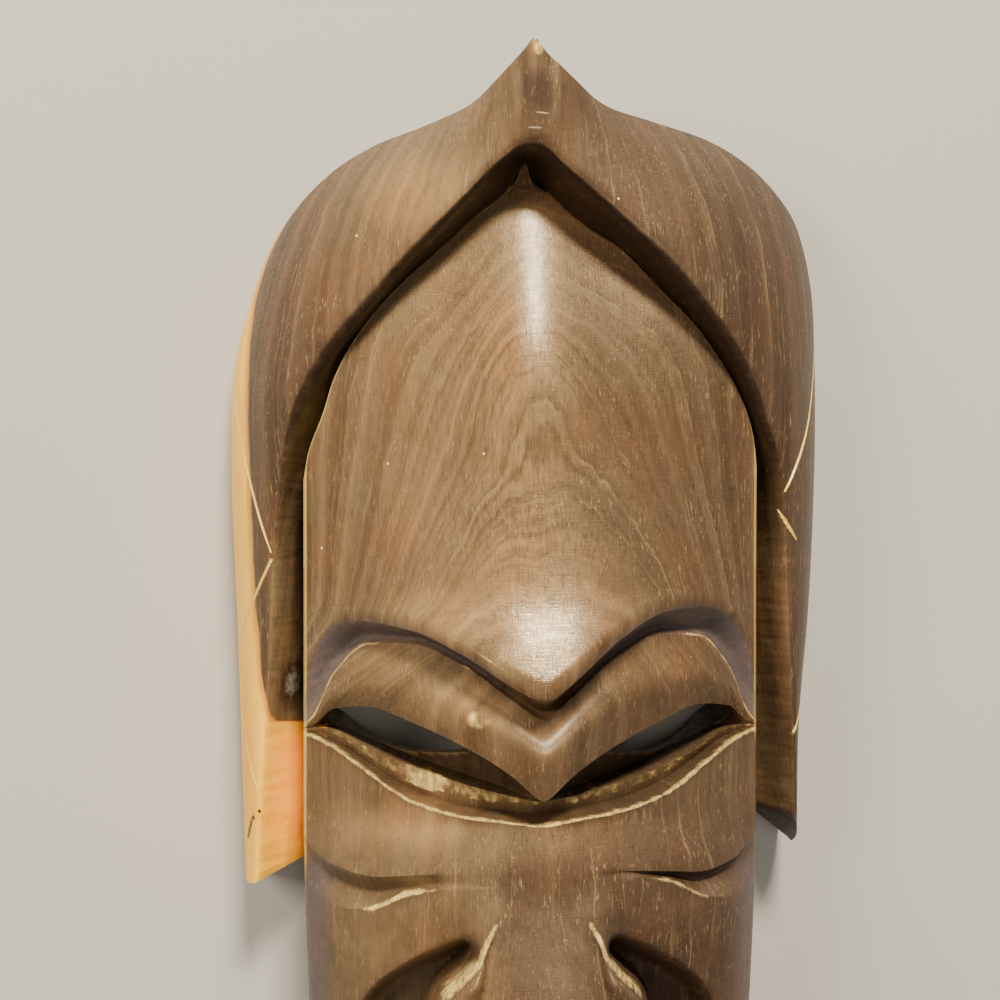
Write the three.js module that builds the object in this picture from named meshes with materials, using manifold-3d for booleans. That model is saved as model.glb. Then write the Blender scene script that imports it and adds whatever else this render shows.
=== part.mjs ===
// A carved African mask: one block of dark hardwood. A hood rises to a peak over the forehead and runs
// down into two side flaps, the long face has a heavy brow and pierced eyes, and the back is hollowed out.
// Millimetres. X runs across the mask, +Y towards the peak and +Z out of the face.
// It lies on its back rim, and the origin is in the middle of what it covers, on the plane of that rim.
import * as THREE from "three";
import { mergeVertices } from "three/addons/utils/BufferGeometryUtils.js";
import Module from "manifold-3d";

// Whole mask
const PEAK_Y = 187;
const CHIN_Y = -187;
const FACE_HALF_WIDTH = 67;
const EDGE_Y = [CHIN_Y, -160, -120, -60, 40, 110];
const EDGE_Z = [22, 27, 33, 36.5, 37, 39];
const BELOW_RIM = 4;

// Where the lengthwise lines of the face are measured, out from the middle
const ACROSS = [0, 10, 22, 36, 48, 58, 64, FACE_HALF_WIDTH];

// Places (Y) and heights (Z) of the carved lines at those distances
const BROW_Y = [2.4, 9.2, 17.7, 24.1, 25.5, 22.6, 13.6, -2];
const GROOVE_Y = [-1, 6.6, 15, 20.6, 20.6, 13, 1.5, -6.5];
const LID_Y = [-3.3, 4.6, 13.2, 18.6, 17.8, 8.4, -4.5, -8];
const LID_Z = [73.5, 68.3, 61.2, 53.3, 46.2, 40.4, 37.5, 36.6];
const BAND_Y = [-7.7, 0.7, 9, 15.2, 14, 6.6, -4.6, -7.8];
const BAND_Z = [73.2, 67.9, 61.2, 53.7, 46.9, 41, 37.7, 36.7];
const ROLL_Y = [-14, -6.8, 0, 4.9, 5.6, 2, -5.5, -8];
const ROLL_Z = [75.6, 70.6, 63.4, 55.1, 47.8, 41.6, 37.8, 36.7];
const RIM_Y = [-25.6, -16.8, -10.4, -4.9, -1.4, -2.6, -7.5, -8.4];
const RIM_Z = [72.5, 68.5, 61.2, 52.7, 45.1, 39.2, 37, 36.7];
const LEDGE_Y = [-27.2, -25.2, -22.7, -19, -14.4, -9.7, -8.6, -8.8];
const LEDGE_Z = [58, 57.2, 54, 47.8, 42, 36.8, 36.5, 36.7];
const SHELF_Y = [-30.6, -29.4, -28.1, -24.3, -17.9, -12.2, -9.9, -9.7];
const SHELF_Z = [56.5, 55.6, 52.3, 46, 40.2, 35.7, 36, 36.5];
const SOCKET_Y = [-32.2, -30.8, -29.5, -26, -18.95, -12.9, -10.5, -10];
const CHEEK_Y = [-44.3, -44.3, -44.6, -46, -47.5, -46, -42.5, -40];
const FURROW_Y = [-46, -46, -46.2, -48.6, -51.2, -49.6, -45.6, -42.8];
const FURROW_DEPTH = [0, 0, 0.2, 3.4, 4.6, 3.4, 1.6, 0.8];
const CREST_Y = [-47.2, -47.2, -47.4, -49.6, -55.3, -56.8, -54.5, -52.5];
const HOLLOW_Y = [-54, -56, -61, -68.5, -78.3, -96, -98, -88];
const CHIN_EDGE_Y = [CHIN_Y, -186.3, -183.5, -175.5, -164, -147, -130, -112];

// Upper border of the face, a pointed arch under the hood
const ARCH_X = -2.5;
const BORDER_X = [
  -67, -65.5, -61.3, -58.3, -53.9, -46, -36, -26, -17, -9, -4.5, ARCH_X, -0.6, 5.6, 14.2, 25.8, 36.4,
  47, 55.7, 61.8, 65.7, 67,
];
const BORDER_Y = [
  64, 72, 83, 92.5, 101.5, 112.7, 123.3, 132.2, 140.8, 147.1, 152.5, 159.5, 151.8, 146.9, 139,
  131.6, 120.5, 109.8, 98.2, 88.1, 77.2, 68,
];

// Height of the face along its middle line, above and below the eyes
const FOREHEAD_Y = [4.5, 17, 33, 60, 85, 100, 120, 140, 160];
const FOREHEAD_Z = [81, 75.3, 68.3, 62.5, 57.8, 53.5, 46.4, 38.6, 31.6];
const LOWER_Y = [CHIN_Y, -180, -170, -158, -138, -105, -75, -46, -31.9];
const LOWER_Z = [52, 57, 59, 56, 62, 63, 66.5, 70, 67];
const FOREHEAD_ROUNDING = 1.25;
const BROW_ROUNDING = 1.7;
const FOREHEAD_SOFTNESS = 8;
const ROUNDING_START = 20;
const ROUNDING_REACH = 60;
const KEEL_X = -1.5;
const KEEL_HEIGHT = 4.6;
const KEEL_WIDTH = 17;
const KEEL_START = 60;
const KEEL_RISE = 45;
const EYE_ROUNDING = 1.75;
const CHEEK_ROUNDING = 2.3;
const CHEEK_SHOULDER = 0.72;
const CHEEK_START = -30;
const CHEEK_REACH = 30;
const CHIN_ROLL = 20;
const CHIN_START = -100;
const CHIN_REACH = 30;
const JAW_TAPER = 0.09;
const JAW_START = -40;
const JAW_LENGTH = 147;
const JAW_BEND = 1.2;

// The middle of each V is rounded, and the brow turns over softly
const CENTRE_ROUNDING = 1.6;
const BROW_TURN = 6.5;
const BROW_TURN_SIDE = 3;
const BROW_DROP = 2.6;
const GROOVE_DEPTH = 2.6;

// The right brow, lid and socket stand a little higher than the left, and the ledge a little lower
const BROW_LIFT = 2.4;
const LID_LIFT = 1.2;
const RIM_LIFT = -0.1;
const LEDGE_LIFT = -0.7;
const SOCKET_LIFT = 0.5;
const CREST_LIFT = 1.2;

// Eye recess: its depth for each millimetre of its opening, and how far its walls lean into the opening
const RECESS_SLOPE = 1.1;
const RECESS_LEAN = 0.08;

// Slit through each eye: where it runs, how much of the recess it opens, and how its ends close
const SLIT_FROM = 19;
const SLIT_TO = 60;
const SLIT_MARGIN = 0.1;
const SLIT_END = 6;
const SLIT_MIDDLE = 0.41;
const SLIT_CLOSED = 0.01;
const SLIT_ACROSS = [19, 24, 28, 36, 44, 50, 60];
const SLIT_OPEN = [0.3, 0.52, 0.64, 0.84, 0.91, 0.92, 0.9];
const SLIT_LENGTH = 110;

// Nose, the hollows beside it, and the lips
const NOSE_Y = [-109, -107.5, -104.5, -100, -93, -80, -66, -56, -46];
const NOSE_Z = [62, 70, 76.5, 80.6, 82, 78.5, 74, 71.2, 70];
const NOSE_FALL_Y = [-109, -95, -80, -46];
const NOSE_FALL = [9, 7, 3.5, 2];
const NOSE_FALL_BEND = 2.5;
const NOSE_START = 12;
const BRIDGE_SIDE_Y = [-109, -100, -85, -67, -62.5, -57.7, -46];
const BRIDGE_SIDE_X = [13, 16.5, 17, 16, 14.5, 12.5, 12];
const BRIDGE_WALL = 4;
const WING_SIDE_Y = [-108.5, -107, -103, -98, -92, -85, -78, -73.5, -70, -67, -62.5, -57.7, -46];
const WING_SIDE_X = [12, 20, 26.5, 30, 31.5, 30.5, 27, 22.5, 19.4, 17.2, 15.5, 13, 12];
const WING_Z_Y = [-108.5, -104, -92, -78, -67, -57, -46];
const WING_Z = [60, 66, 69, 70.5, 72, 71, 70];
const WING_PILLOW = 5.5;
const WING_SWELL = 6;
const WING_WALL = 4.5;
const BRIDGE_FOOT = 12;
const BRIDGE_FOOT_START = -56;
const BRIDGE_FOOT_LENGTH = 14;
const NOSTRIL_X = 15;
const NOSTRIL_Y = -106.5;
const NOSTRIL_Z = 68.5;
const NOSTRIL_SIZE = [5, 8, 3.6];
const HOLLOW_ACROSS = [13, 24, 36, 48, 54, 58];
const HOLLOW_TOP = [-57.5, -61.9, -68.5, -78.3, -87, -112];
const HOLLOW_SIDE_Y = [-150, -136, -124, -112, -100, -88, -78];
const HOLLOW_SIDE_X = [30, 38, 45.5, 51, 54.5, 55, 54];
const HOLLOW_DEPTH = 15;
const HOLLOW_SOFTNESS = 10;
const HOLLOW_SIDE_SOFTNESS = 11;
const HOLLOW_END = -104;
const HOLLOW_FADE = 40;
const LIP_Y = -137;
const LIP_HALF_WIDTH = 31;
const UPPER_LIP = 6.5;
const LOWER_LIP = 7.5;
const LIP_HEIGHT = 8.5;
const LIP_EDGE = 0.3;
const LIP_ENDS = 0.7;
const LIP_FULLNESS = 0.75;
const MUZZLE_HEIGHT = 4;
const MUZZLE_HALF_WIDTH = 34;
const MUZZLE_HALF_LENGTH = 26;

// Rails of the hood from the peak to the end of the left and the right flap: outline, front ridge, and foot
// of the inner wall, which lies inside the face
const OUTLINE_LEFT = [
  [-1.4, 187, 61], [-4.6, 184, 60], [-11.4, 177.3, 55], [-19, 171.6, 47], [-32, 167.8, 36],
  [-46, 163.8, 28.5], [-58.5, 157.2, 23], [-69.5, 147.3, 18], [-78.3, 134.2, 15], [-84.6, 117, 13.5],
  [-89.3, 97, 12.5], [-90.3, 66, 12], [-88.6, 24, 12], [-87.2, -18, 12], [-86, -58, 12],
];
const OUTLINE_RIGHT = [
  [-1.4, 187, 61], [1.8, 184, 60], [10.6, 177.3, 55], [20.5, 172, 47], [36, 169.7, 38],
  [53, 166.3, 31], [66, 160.8, 25.5], [76.5, 153, 20.5], [84.6, 142.5, 16.5], [89.7, 124, 14],
  [91.3, 100, 12.5], [91.4, 68, 12], [89.3, 24, 12], [85, -14, 12], [83.8, -49, 12],
];
const RIDGE_LEFT = [
  [-2.2, 156.5, 57], [-6.5, 155.6, 57], [-12.5, 151.3, 57.2], [-19.5, 143.9, 57.5], [-28, 134.7, 57],
  [-37.5, 124.7, 56], [-47, 113.3, 53.8], [-56.4, 103.4, 50.3], [-63.4, 94.1, 47], [-68.3, 85.2, 44.7],
  [-71.5, 73, 41.5], [-74.5, 51, 38], [-76.5, 18, 35.5], [-79, -20, 33], [-81, -55, 29],
];
const RIDGE_RIGHT = [
  [-2.2, 156.5, 57], [2.4, 155.8, 57], [8.5, 150.5, 57.2], [17, 143.3, 57.5], [27.5, 133.5, 57],
  [38.5, 123.3, 56], [49, 111.3, 53], [58, 99.8, 49], [64, 89.2, 45.8], [68.5, 78, 42.8],
  [72.2, 68.5, 40.5], [75, 49, 38], [77, 18, 35.5], [79.3, -12, 33], [81, -39, 29],
];
const FOOT_LEFT = [
  [-2.4, 157, 30], [-3.4, 152.3, 30], [-6.8, 144.7, 30], [-15.2, 138.9, 30], [-24.6, 130.5, 30],
  [-35.1, 122.3, 30], [-45, 112, 28], [-51, 99.3, 26], [-52.8, 90.8, 24], [-55.9, 81.3, 22],
  [-62.3, 71.5, 19.5], [-65.5, 49, 14], [-65.5, 17, 12.5], [-65.5, -20, 12], [-65.5, -50, 12],
];
const FOOT_RIGHT = [
  [-2.4, 157, 30], [-0.8, 151.3, 30], [3.9, 144.8, 30], [12.5, 136.4, 30], [24.7, 130.4, 30],
  [34.9, 118.5, 30], [45, 108.2, 28], [53, 96.3, 26], [59, 86.6, 24], [63.1, 76.5, 22],
  [64.9, 67.5, 19.5], [65.5, 48, 14], [65.5, 17, 12.5], [65.5, -12, 12], [65.5, -34, 12],
];
const RIDGE_BLUNT = 0.18;
const HOOD_SLANT = 0.35;
const HOOD_TURN = 0.08;
const HOOD_TURN_HEIGHT = 0.35;
const CROWN_PLACE = 0.6;
const CROWN_DROP = 0.12;

// Peak of the hood: it bulges forward and has a scoop in its front, under the tip
const PEAK_BULGE = 8.5;
const PEAK_REACH = 0.16;
const SCOOP_X = -1.2;
const SCOOP_HALF_WIDTH = 7.5;
const SCOOP_START = 160;
const SCOOP_LENGTH = 21;
const SCOOP_TIP = 7;
const SCOOP_DEPTH = 2.2;

// Hollow back
const CAVITY_HALF_WIDTH = 56;
const CAVITY_TOP = 134;
const CAVITY_BOTTOM = -170;
const CAVITY_DEPTH = 38;
const CAVITY_SQUARENESS = 2.5;
const CAVITY_RIM = 0.8;

// Fineness of the facets
const HALF_COLUMNS = 20;
const COLUMN_CROWDING = 0.92;
const FOREHEAD_ROWS = 12;
const SOCKET_ROWS = [0, 0.35, 0.7, 1];
const CREST_ROWS = [0, 0.5, 1];
const LOWER_ROWS = 26;
const LOWER_CROWDING = 1.1;
const SLIT_STEPS = 14;
const HOOD_STEPS = 36;
const BACK_STEPS = [0.35, 0.7];
const FRONT_STEPS = [0.2, 0.4, 0.6, 1 - RIDGE_BLUNT];
const NOSTRIL_SPOKES = 10;
const CAVITY_RINGS = 8;
const CAVITY_SPOKES = 32;

const wasm = await Module();
wasm.setup();

const ease = (t) => THREE.MathUtils.smoothstep(t, 0, 1);
const mix = THREE.MathUtils.lerp;
const clip = THREE.MathUtils.clamp;

// A smooth curve through places[i], values[i], read at one place
function along(places, values, place) {
  const last = places.length - 1;
  const rising = places[last] > places[0];
  let i = 0;
  while (i < last - 1 && (rising ? place > places[i + 1] : place < places[i + 1])) i += 1;
  const slope = (k) => (values[k + 1] - values[k]) / (places[k + 1] - places[k]);
  const tangent = (k) => {
    if (k === 0) return slope(0);
    if (k === last) return slope(last - 1);
    const before = slope(k - 1);
    const after = slope(k);
    return before * after > 0 ? (2 * before * after) / (before + after) : 0;
  };
  const width = places[i + 1] - places[i];
  const t = clip((place - places[i]) / width, 0, 1);
  const u = 1 - t;
  return (
    values[i] * (1 + 2 * t) * u * u +
    tangent(i) * width * t * u * u +
    values[i + 1] * (3 - 2 * t) * t * t -
    tangent(i + 1) * width * t * t * u
  );
}

// A smooth rail from the left flap over the peak to the right flap, read at t from -1 to 1
function rail(left, right, t) {
  const knots = [...left.slice(1).reverse(), ...right].map((knot) => new THREE.Vector3(...knot));
  const last = knots.length - 1;
  const reach = ((t + 1) / 2) * last;
  const i = clip(Math.floor(reach), 0, last - 1);
  const f = reach - i;
  const u = 1 - f;
  const slope = (k) => {
    const before = Math.max(k - 1, 0);
    const after = Math.min(k + 1, last);
    return knots[after].clone().sub(knots[before]).divideScalar(after - before);
  };
  return new THREE.Vector3()
    .addScaledVector(knots[i], (1 + 2 * f) * u * u)
    .addScaledVector(slope(i), f * u * u)
    .addScaledVector(knots[i + 1], (3 - 2 * f) * f * f)
    .addScaledVector(slope(i + 1), -f * f * u);
}

const across = (values, x) => along(ACROSS, values, Math.hypot(x, CENTRE_ROUNDING));

// A line across the face that stands higher on the right by a lift
const lifted = (values, lift) => (x) =>
  across(values, x) + lift * Math.sign(x) * Math.sin((Math.PI * Math.abs(x)) / FACE_HALF_WIDTH);

// Turns a list of triangles into a solid
function solidFrom(positions, triangles) {
  const geometry = new THREE.BufferGeometry();
  geometry.setAttribute("position", new THREE.Float32BufferAttribute(positions, 3));
  geometry.setIndex(triangles);
  const merged = mergeVertices(geometry, 1e-4);
  return new wasm.Manifold(
    new wasm.Mesh({
      numProp: 3,
      vertProperties: merged.attributes.position.array,
      triVerts: new Uint32Array(merged.index.array),
    }),
  );
}

// Turns a three.js geometry into a solid
function solidOfGeometry(geometry) {
  const bare = geometry.clone();
  bare.deleteAttribute("normal");
  bare.deleteAttribute("uv");
  const merged = mergeVertices(bare, 1e-4);
  return solidFrom(Array.from(merged.attributes.position.array), Array.from(merged.index.array));
}

// Height of the face at its side edges
function edgeHeight(y) {
  return along(EDGE_Y, EDGE_Z, y);
}

// Height of the forehead, which turns over softly above the brow
function foreheadHeight(x, y) {
  const out = Math.abs(x) / FACE_HALF_WIDTH;
  const rounding = mix(BROW_ROUNDING, FOREHEAD_ROUNDING, ease((y - ROUNDING_START) / ROUNDING_REACH));
  const soft = (distance) => Math.hypot(distance, FOREHEAD_SOFTNESS) - FOREHEAD_SOFTNESS;
  const reach = soft(x) / soft(FACE_HALF_WIDTH);
  const height = mix(along(FOREHEAD_Y, FOREHEAD_Z, y), edgeHeight(y), reach ** rounding);
  const keel = KEEL_HEIGHT * Math.exp(-(((x - KEEL_X) / KEEL_WIDTH) ** 2));
  const turn = mix(BROW_TURN, BROW_TURN_SIDE, out);
  const near = clip((browY(x) + turn - y) / turn, 0, 1);
  return height + keel * ease((y - KEEL_START) / KEEL_RISE) - BROW_DROP * Math.sqrt(1 - out) * near * near;
}

// Height of the plain lower face: domed, with rounded sides and a rounded chin
function lowerHeight(x, y) {
  const out = Math.min(Math.abs(x) / FACE_HALF_WIDTH, 1);
  const edge = edgeHeight(y);
  const below = ease((CHEEK_START - y) / CHEEK_REACH);
  const rounding = mix(EYE_ROUNDING, CHEEK_ROUNDING, below);
  const shoulder = mix(1, CHEEK_SHOULDER, below);
  const height = edge + (along(LOWER_Y, LOWER_Z, y) - edge) * (1 - out ** rounding) ** shoulder;
  const fromChin = clip((y - across(CHIN_EDGE_Y, x)) / CHIN_ROLL, 0, 1);
  const rolled = edge + (height - edge) * Math.sqrt(1 - (1 - fromChin) ** 2);
  return mix(height, rolled, ease((CHIN_START - y) / CHIN_REACH));
}

// Height of the nose over the ground it stands on: a flat bridge between two round wings
function noseHeight(x, y, ground) {
  if (y <= WING_SIDE_Y[0] || y >= NOSE_Y.at(-1)) return ground;
  const out = Math.abs(x);
  const side = along(WING_SIDE_Y, WING_SIDE_X, y);
  const bridgeSide = along(BRIDGE_SIDE_Y, BRIDGE_SIDE_X, y);
  const acrossWing = clip((out - bridgeSide) / Math.max(side - bridgeSide, 1), 0, 1);
  const swell = clip((side - bridgeSide) / WING_SWELL, 0, 1);
  const pillow = WING_PILLOW * swell * Math.sqrt(4 * acrossWing * (1 - acrossWing));
  const foot = mix(BRIDGE_FOOT, WING_WALL, ease((BRIDGE_FOOT_START - y) / BRIDGE_FOOT_LENGTH));
  const wing = mix(along(WING_Z_Y, WING_Z, y) + pillow, ground, ease((out - side) / foot));
  const fall = along(NOSE_FALL_Y, NOSE_FALL, y);
  const bridge = along(NOSE_Y, NOSE_Z, y) - fall * (out / bridgeSide) ** NOSE_FALL_BEND;
  const nose = Math.max(mix(bridge, wing, ease((out - bridgeSide) / BRIDGE_WALL)), wing);
  return mix(ground, Math.max(nose, ground), ease((NOSE_Y.at(-1) - y) / NOSE_START));
}

// Height of the lower face with its nose, hollows and lips
function carvedLowerHeight(x, y) {
  const out = Math.abs(x);
  const fromTop = ease((along(HOLLOW_ACROSS, HOLLOW_TOP, out) - y) / HOLLOW_SOFTNESS);
  const fromSide = ease((along(HOLLOW_SIDE_Y, HOLLOW_SIDE_X, y) - out) / HOLLOW_SIDE_SOFTNESS);
  const fade = ease((y - HOLLOW_END) / HOLLOW_FADE + 1);
  const muzzle = (x / MUZZLE_HALF_WIDTH) ** 2 + ((y - LIP_Y) / MUZZLE_HALF_LENGTH) ** 2;
  let ground = lowerHeight(x, y) - HOLLOW_DEPTH * fromTop * fromSide * fade;
  ground += MUZZLE_HEIGHT * Math.exp(-muzzle);
  const lip = Math.sqrt(1 - Math.min(out / LIP_HALF_WIDTH, 1) ** 2);
  for (const offset of [UPPER_LIP, -LOWER_LIP]) {
    const away = (y - LIP_Y - offset * lip) / (Math.abs(offset) * lip + LIP_EDGE);
    ground += LIP_HEIGHT * lip ** LIP_ENDS * clip(1 - away * away, 0, 1) ** LIP_FULLNESS;
  }
  return noseHeight(x, y, ground);
}

const browY = lifted(BROW_Y, BROW_LIFT);
const rimY = lifted(RIM_Y, RIM_LIFT);
const ledgeY = lifted(LEDGE_Y, LEDGE_LIFT);
const socketY = lifted(SOCKET_Y, SOCKET_LIFT);

// A row of the face: place and height of one carved line at x
const row = (placeY, heightZ) => ({ placeY, heightZ });

// A place or height between two others
const between = (a, b, t) => (x) => mix(a(x), b(x), t);

// Rows between two lines, at the height that a surface has there
function spread(from, to, steps, height) {
  return steps.map((t) => {
    const placeY = between(from, to, t);
    return row(placeY, (x) => height(x, placeY(x)));
  });
}

// The rows of the face from the hood to the chin
function faceRows() {
  const foreheadSteps = Array.from({ length: FOREHEAD_ROWS + 1 }, (_, i) => i / FOREHEAD_ROWS);
  const lowerSteps = Array.from({ length: LOWER_ROWS }, (_, i) => ((i + 1) / LOWER_ROWS) ** LOWER_CROWDING);
  const line = (values) => (x) => across(values, x);
  const borderY = (x) => along(BORDER_X, BORDER_Y, x);
  const lidZ = line(LID_Z);
  const grooveZ = (x) => lidZ(x) - GROOVE_DEPTH * (1 - (x / FACE_HALF_WIDTH) ** 2);
  const ledgeZ = line(LEDGE_Z);
  const recessZ = (x) => ledgeZ(x) - RECESS_SLOPE * (rimY(x) - ledgeY(x));
  const bandY = lifted(BAND_Y, LID_LIFT);
  const bandZ = line(BAND_Z);
  const rollY = lifted(ROLL_Y, LID_LIFT);
  const rollZ = line(ROLL_Z);
  const rimZ = line(RIM_Z);
  const furrowY = lifted(FURROW_Y, CREST_LIFT);
  const crestY = lifted(CREST_Y, CREST_LIFT);
  const cheekY = line(CHEEK_Y);
  const hollowY = line(HOLLOW_Y);
  return [
    ...spread(borderY, browY, foreheadSteps, foreheadHeight),
    row(lifted(GROOVE_Y, LID_LIFT), grooveZ),
    row(lifted(LID_Y, LID_LIFT), lidZ),
    row(bandY, bandZ),
    row(between(bandY, rollY, 0.5), between(bandZ, rollZ, 0.6)),
    row(rollY, rollZ),
    row(between(rollY, rimY, 0.6), between(rollZ, rimZ, 0.5)),
    row(rimY, rimZ),
    row(between(rimY, ledgeY, RECESS_LEAN), recessZ),
    row(between(rimY, ledgeY, 1 - RECESS_LEAN), recessZ),
    row(ledgeY, ledgeZ),
    row(lifted(SHELF_Y, SOCKET_LIFT), line(SHELF_Z)),
    ...spread(socketY, cheekY, SOCKET_ROWS, lowerHeight),
    row(furrowY, (x) => lowerHeight(x, furrowY(x)) - across(FURROW_DEPTH, x)),
    ...spread(crestY, hollowY, CREST_ROWS, carvedLowerHeight),
    ...spread(hollowY, line(CHIN_EDGE_Y), lowerSteps, carvedLowerHeight),
  ];
}

// How much the face narrows towards the chin
function jawWidth(y) {
  return 1 - JAW_TAPER * clip((JAW_START - y) / JAW_LENGTH, 0, 1) ** JAW_BEND;
}

// Distances from the middle at which the face is cut into columns, closer together at its edges, with one
// more through the point of the arch
function columnPlaces() {
  const places = [ARCH_X];
  for (let i = -HALF_COLUMNS; i <= HALF_COLUMNS; i += 1) {
    const t = i / HALF_COLUMNS;
    places.push(FACE_HALF_WIDTH * Math.sign(t) * Math.abs(t) ** COLUMN_CROWDING);
  }
  return places.sort((a, b) => a - b);
}

// The face as a closed block that reaches below the back rim
function face() {
  const rows = faceRows();
  const places = columnPlaces();
  const columns = places.length;
  const positions = [];
  const triangles = [];
  for (const { placeY, heightZ } of rows) {
    for (const x of places) positions.push(x * jawWidth(placeY(x)), placeY(x), heightZ(x));
  }
  for (let r = 0; r < rows.length - 1; r += 1) {
    for (let c = 0; c < columns - 1; c += 1) {
      const a = r * columns + c;
      triangles.push(a, a + columns, a + 1, a + 1, a + columns, a + columns + 1);
    }
  }
  const border = [];
  for (let r = 0; r < rows.length; r += 1) border.push(r * columns);
  for (let c = 1; c < columns; c += 1) border.push((rows.length - 1) * columns + c);
  for (let r = rows.length - 2; r >= 0; r -= 1) border.push(r * columns + columns - 1);
  for (let c = columns - 2; c > 0; c -= 1) border.push(c);
  const firstBelow = positions.length / 3;
  for (const k of border) positions.push(positions[3 * k], positions[3 * k + 1], -BELOW_RIM);
  const middle = positions.length / 3;
  positions.push(0, 0, -BELOW_RIM);
  border.forEach((k, i) => {
    const next = (i + 1) % border.length;
    triangles.push(k, firstBelow + i, border[next], border[next], firstBelow + i, firstBelow + next);
    triangles.push(middle, firstBelow + next, firstBelow + i);
  });
  return solidFrom(positions, triangles);
}

// One cross-section of the hood, at t from -1 (left flap) over 0 (peak) to 1 (right flap)
function hoodSection(t) {
  const outline = rail(OUTLINE_LEFT, OUTLINE_RIGHT, t);
  const ridge = rail(RIDGE_LEFT, RIDGE_RIGHT, t);
  const foot = rail(FOOT_LEFT, FOOT_RIGHT, t);
  const inward = new THREE.Vector3(ridge.x - outline.x, ridge.y - outline.y, 0).normalize();
  const slant = HOOD_SLANT * (outline.z + BELOW_RIM);
  const back = outline.clone().addScaledVector(inward, slant).setZ(-BELOW_RIM);
  const turn = outline.clone().addScaledVector(inward, HOOD_TURN * slant);
  turn.z = outline.z * HOOD_TURN_HEIGHT;
  const crown = ridge.clone().lerp(outline, CROWN_PLACE);
  crown.z = ridge.z - CROWN_DROP * (ridge.z - outline.z) + PEAK_BULGE * ease(1 - Math.abs(t) / PEAK_REACH);
  const ring = [back];
  for (const f of BACK_STEPS) ring.push(bend(back, turn, outline, f));
  ring.push(outline);
  for (const f of FRONT_STEPS) ring.push(scooped(bend(outline, crown, ridge, f)));
  const before = bend(outline, crown, ridge, 1 - RIDGE_BLUNT);
  const lead = ridge.clone().lerp(crown, RIDGE_BLUNT);
  const after = ridge.clone().lerp(foot, RIDGE_BLUNT);
  ring.push(scooped(new THREE.CubicBezierCurve3(before, lead, ridge, after).getPoint(1 / 2)));
  ring.push(after);
  ring.push(foot);
  ring.push(foot.clone().setZ(-BELOW_RIM));
  return ring;
}

// Sinks a point on the front of the peak into its scoop
function scooped(place) {
  const acrossScoop = (place.x - SCOOP_X) / SCOOP_HALF_WIDTH;
  const alongScoop = ease((place.y - SCOOP_START) / SCOOP_LENGTH) * ease((PEAK_Y - place.y) / SCOOP_TIP);
  place.z -= SCOOP_DEPTH * ease(1 - acrossScoop ** 2) * alongScoop;
  return place;
}

// A point on the bend from a to c that b pulls towards itself
function bend(a, b, c, f) {
  return new THREE.QuadraticBezierCurve3(a, b, c).getPoint(f);
}

// The hood and its two flaps as one closed body
function hood() {
  const sections = [];
  for (let i = -HOOD_STEPS; i <= HOOD_STEPS; i += 1) sections.push(hoodSection(i / HOOD_STEPS));
  const size = sections[0].length;
  const positions = sections.flat().flatMap((place) => place.toArray());
  const triangles = [];
  for (let i = 0; i < sections.length - 1; i += 1) {
    for (let k = 0; k < size; k += 1) {
      const a = i * size + k;
      const b = i * size + ((k + 1) % size);
      triangles.push(a, b, a + size, b, b + size, a + size);
    }
  }
  for (const [index, order] of [[0, 1], [sections.length - 1, -1]]) {
    const middle = positions.length / 3;
    const centre = new THREE.Vector3();
    for (const place of sections[index]) centre.addScaledVector(place, 1 / size);
    positions.push(...centre.toArray());
    for (let k = 0; k < size; k += 1) {
      const a = index * size + k;
      const b = index * size + ((k + 1) % size);
      if (order > 0) triangles.push(middle, b, a);
      else triangles.push(middle, a, b);
    }
  }
  return solidFrom(positions, triangles);
}

// The scoop that hollows the back
function cavity() {
  const halfLength = (CAVITY_TOP - CAVITY_BOTTOM) / 2;
  const middleY = (CAVITY_TOP + CAVITY_BOTTOM) / 2;
  const positions = [0, middleY, CAVITY_DEPTH];
  const triangles = [];
  const power = 2 / CAVITY_SQUARENESS;
  const place = (reach, spoke, z) => {
    const angle = (2 * Math.PI * spoke) / CAVITY_SPOKES;
    const cx = Math.cos(angle);
    const cy = Math.sin(angle);
    const x = CAVITY_HALF_WIDTH * Math.sign(cx) * Math.abs(cx) ** power;
    const y = halfLength * Math.sign(cy) * Math.abs(cy) ** power;
    positions.push(reach * x, middleY + reach * y, z);
  };
  for (let ring = 1; ring <= CAVITY_RINGS; ring += 1) {
    const reach = Math.sin((Math.PI / 2) * (ring / CAVITY_RINGS));
    const depth = CAVITY_DEPTH * (1 - reach ** CAVITY_SQUARENESS) ** CAVITY_RIM;
    for (let spoke = 0; spoke < CAVITY_SPOKES; spoke += 1) place(reach, spoke, depth);
  }
  for (let spoke = 0; spoke < CAVITY_SPOKES; spoke += 1) place(1, spoke, -2 * BELOW_RIM);
  const start = (ring) => 1 + (ring - 1) * CAVITY_SPOKES;
  for (let spoke = 0; spoke < CAVITY_SPOKES; spoke += 1) {
    const next = (spoke + 1) % CAVITY_SPOKES;
    triangles.push(0, start(1) + spoke, start(1) + next);
    for (let ring = 1; ring <= CAVITY_RINGS; ring += 1) {
      const a = start(ring);
      const b = start(ring + 1);
      triangles.push(a + spoke, b + spoke, a + next, a + next, b + spoke, b + next);
    }
  }
  const under = positions.length / 3;
  positions.push(0, middleY, -2 * BELOW_RIM);
  for (let spoke = 0; spoke < CAVITY_SPOKES; spoke += 1) {
    const next = (spoke + 1) % CAVITY_SPOKES;
    triangles.push(under, start(CAVITY_RINGS + 1) + next, start(CAVITY_RINGS + 1) + spoke);
  }
  return solidFrom(positions, triangles);
}

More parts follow.
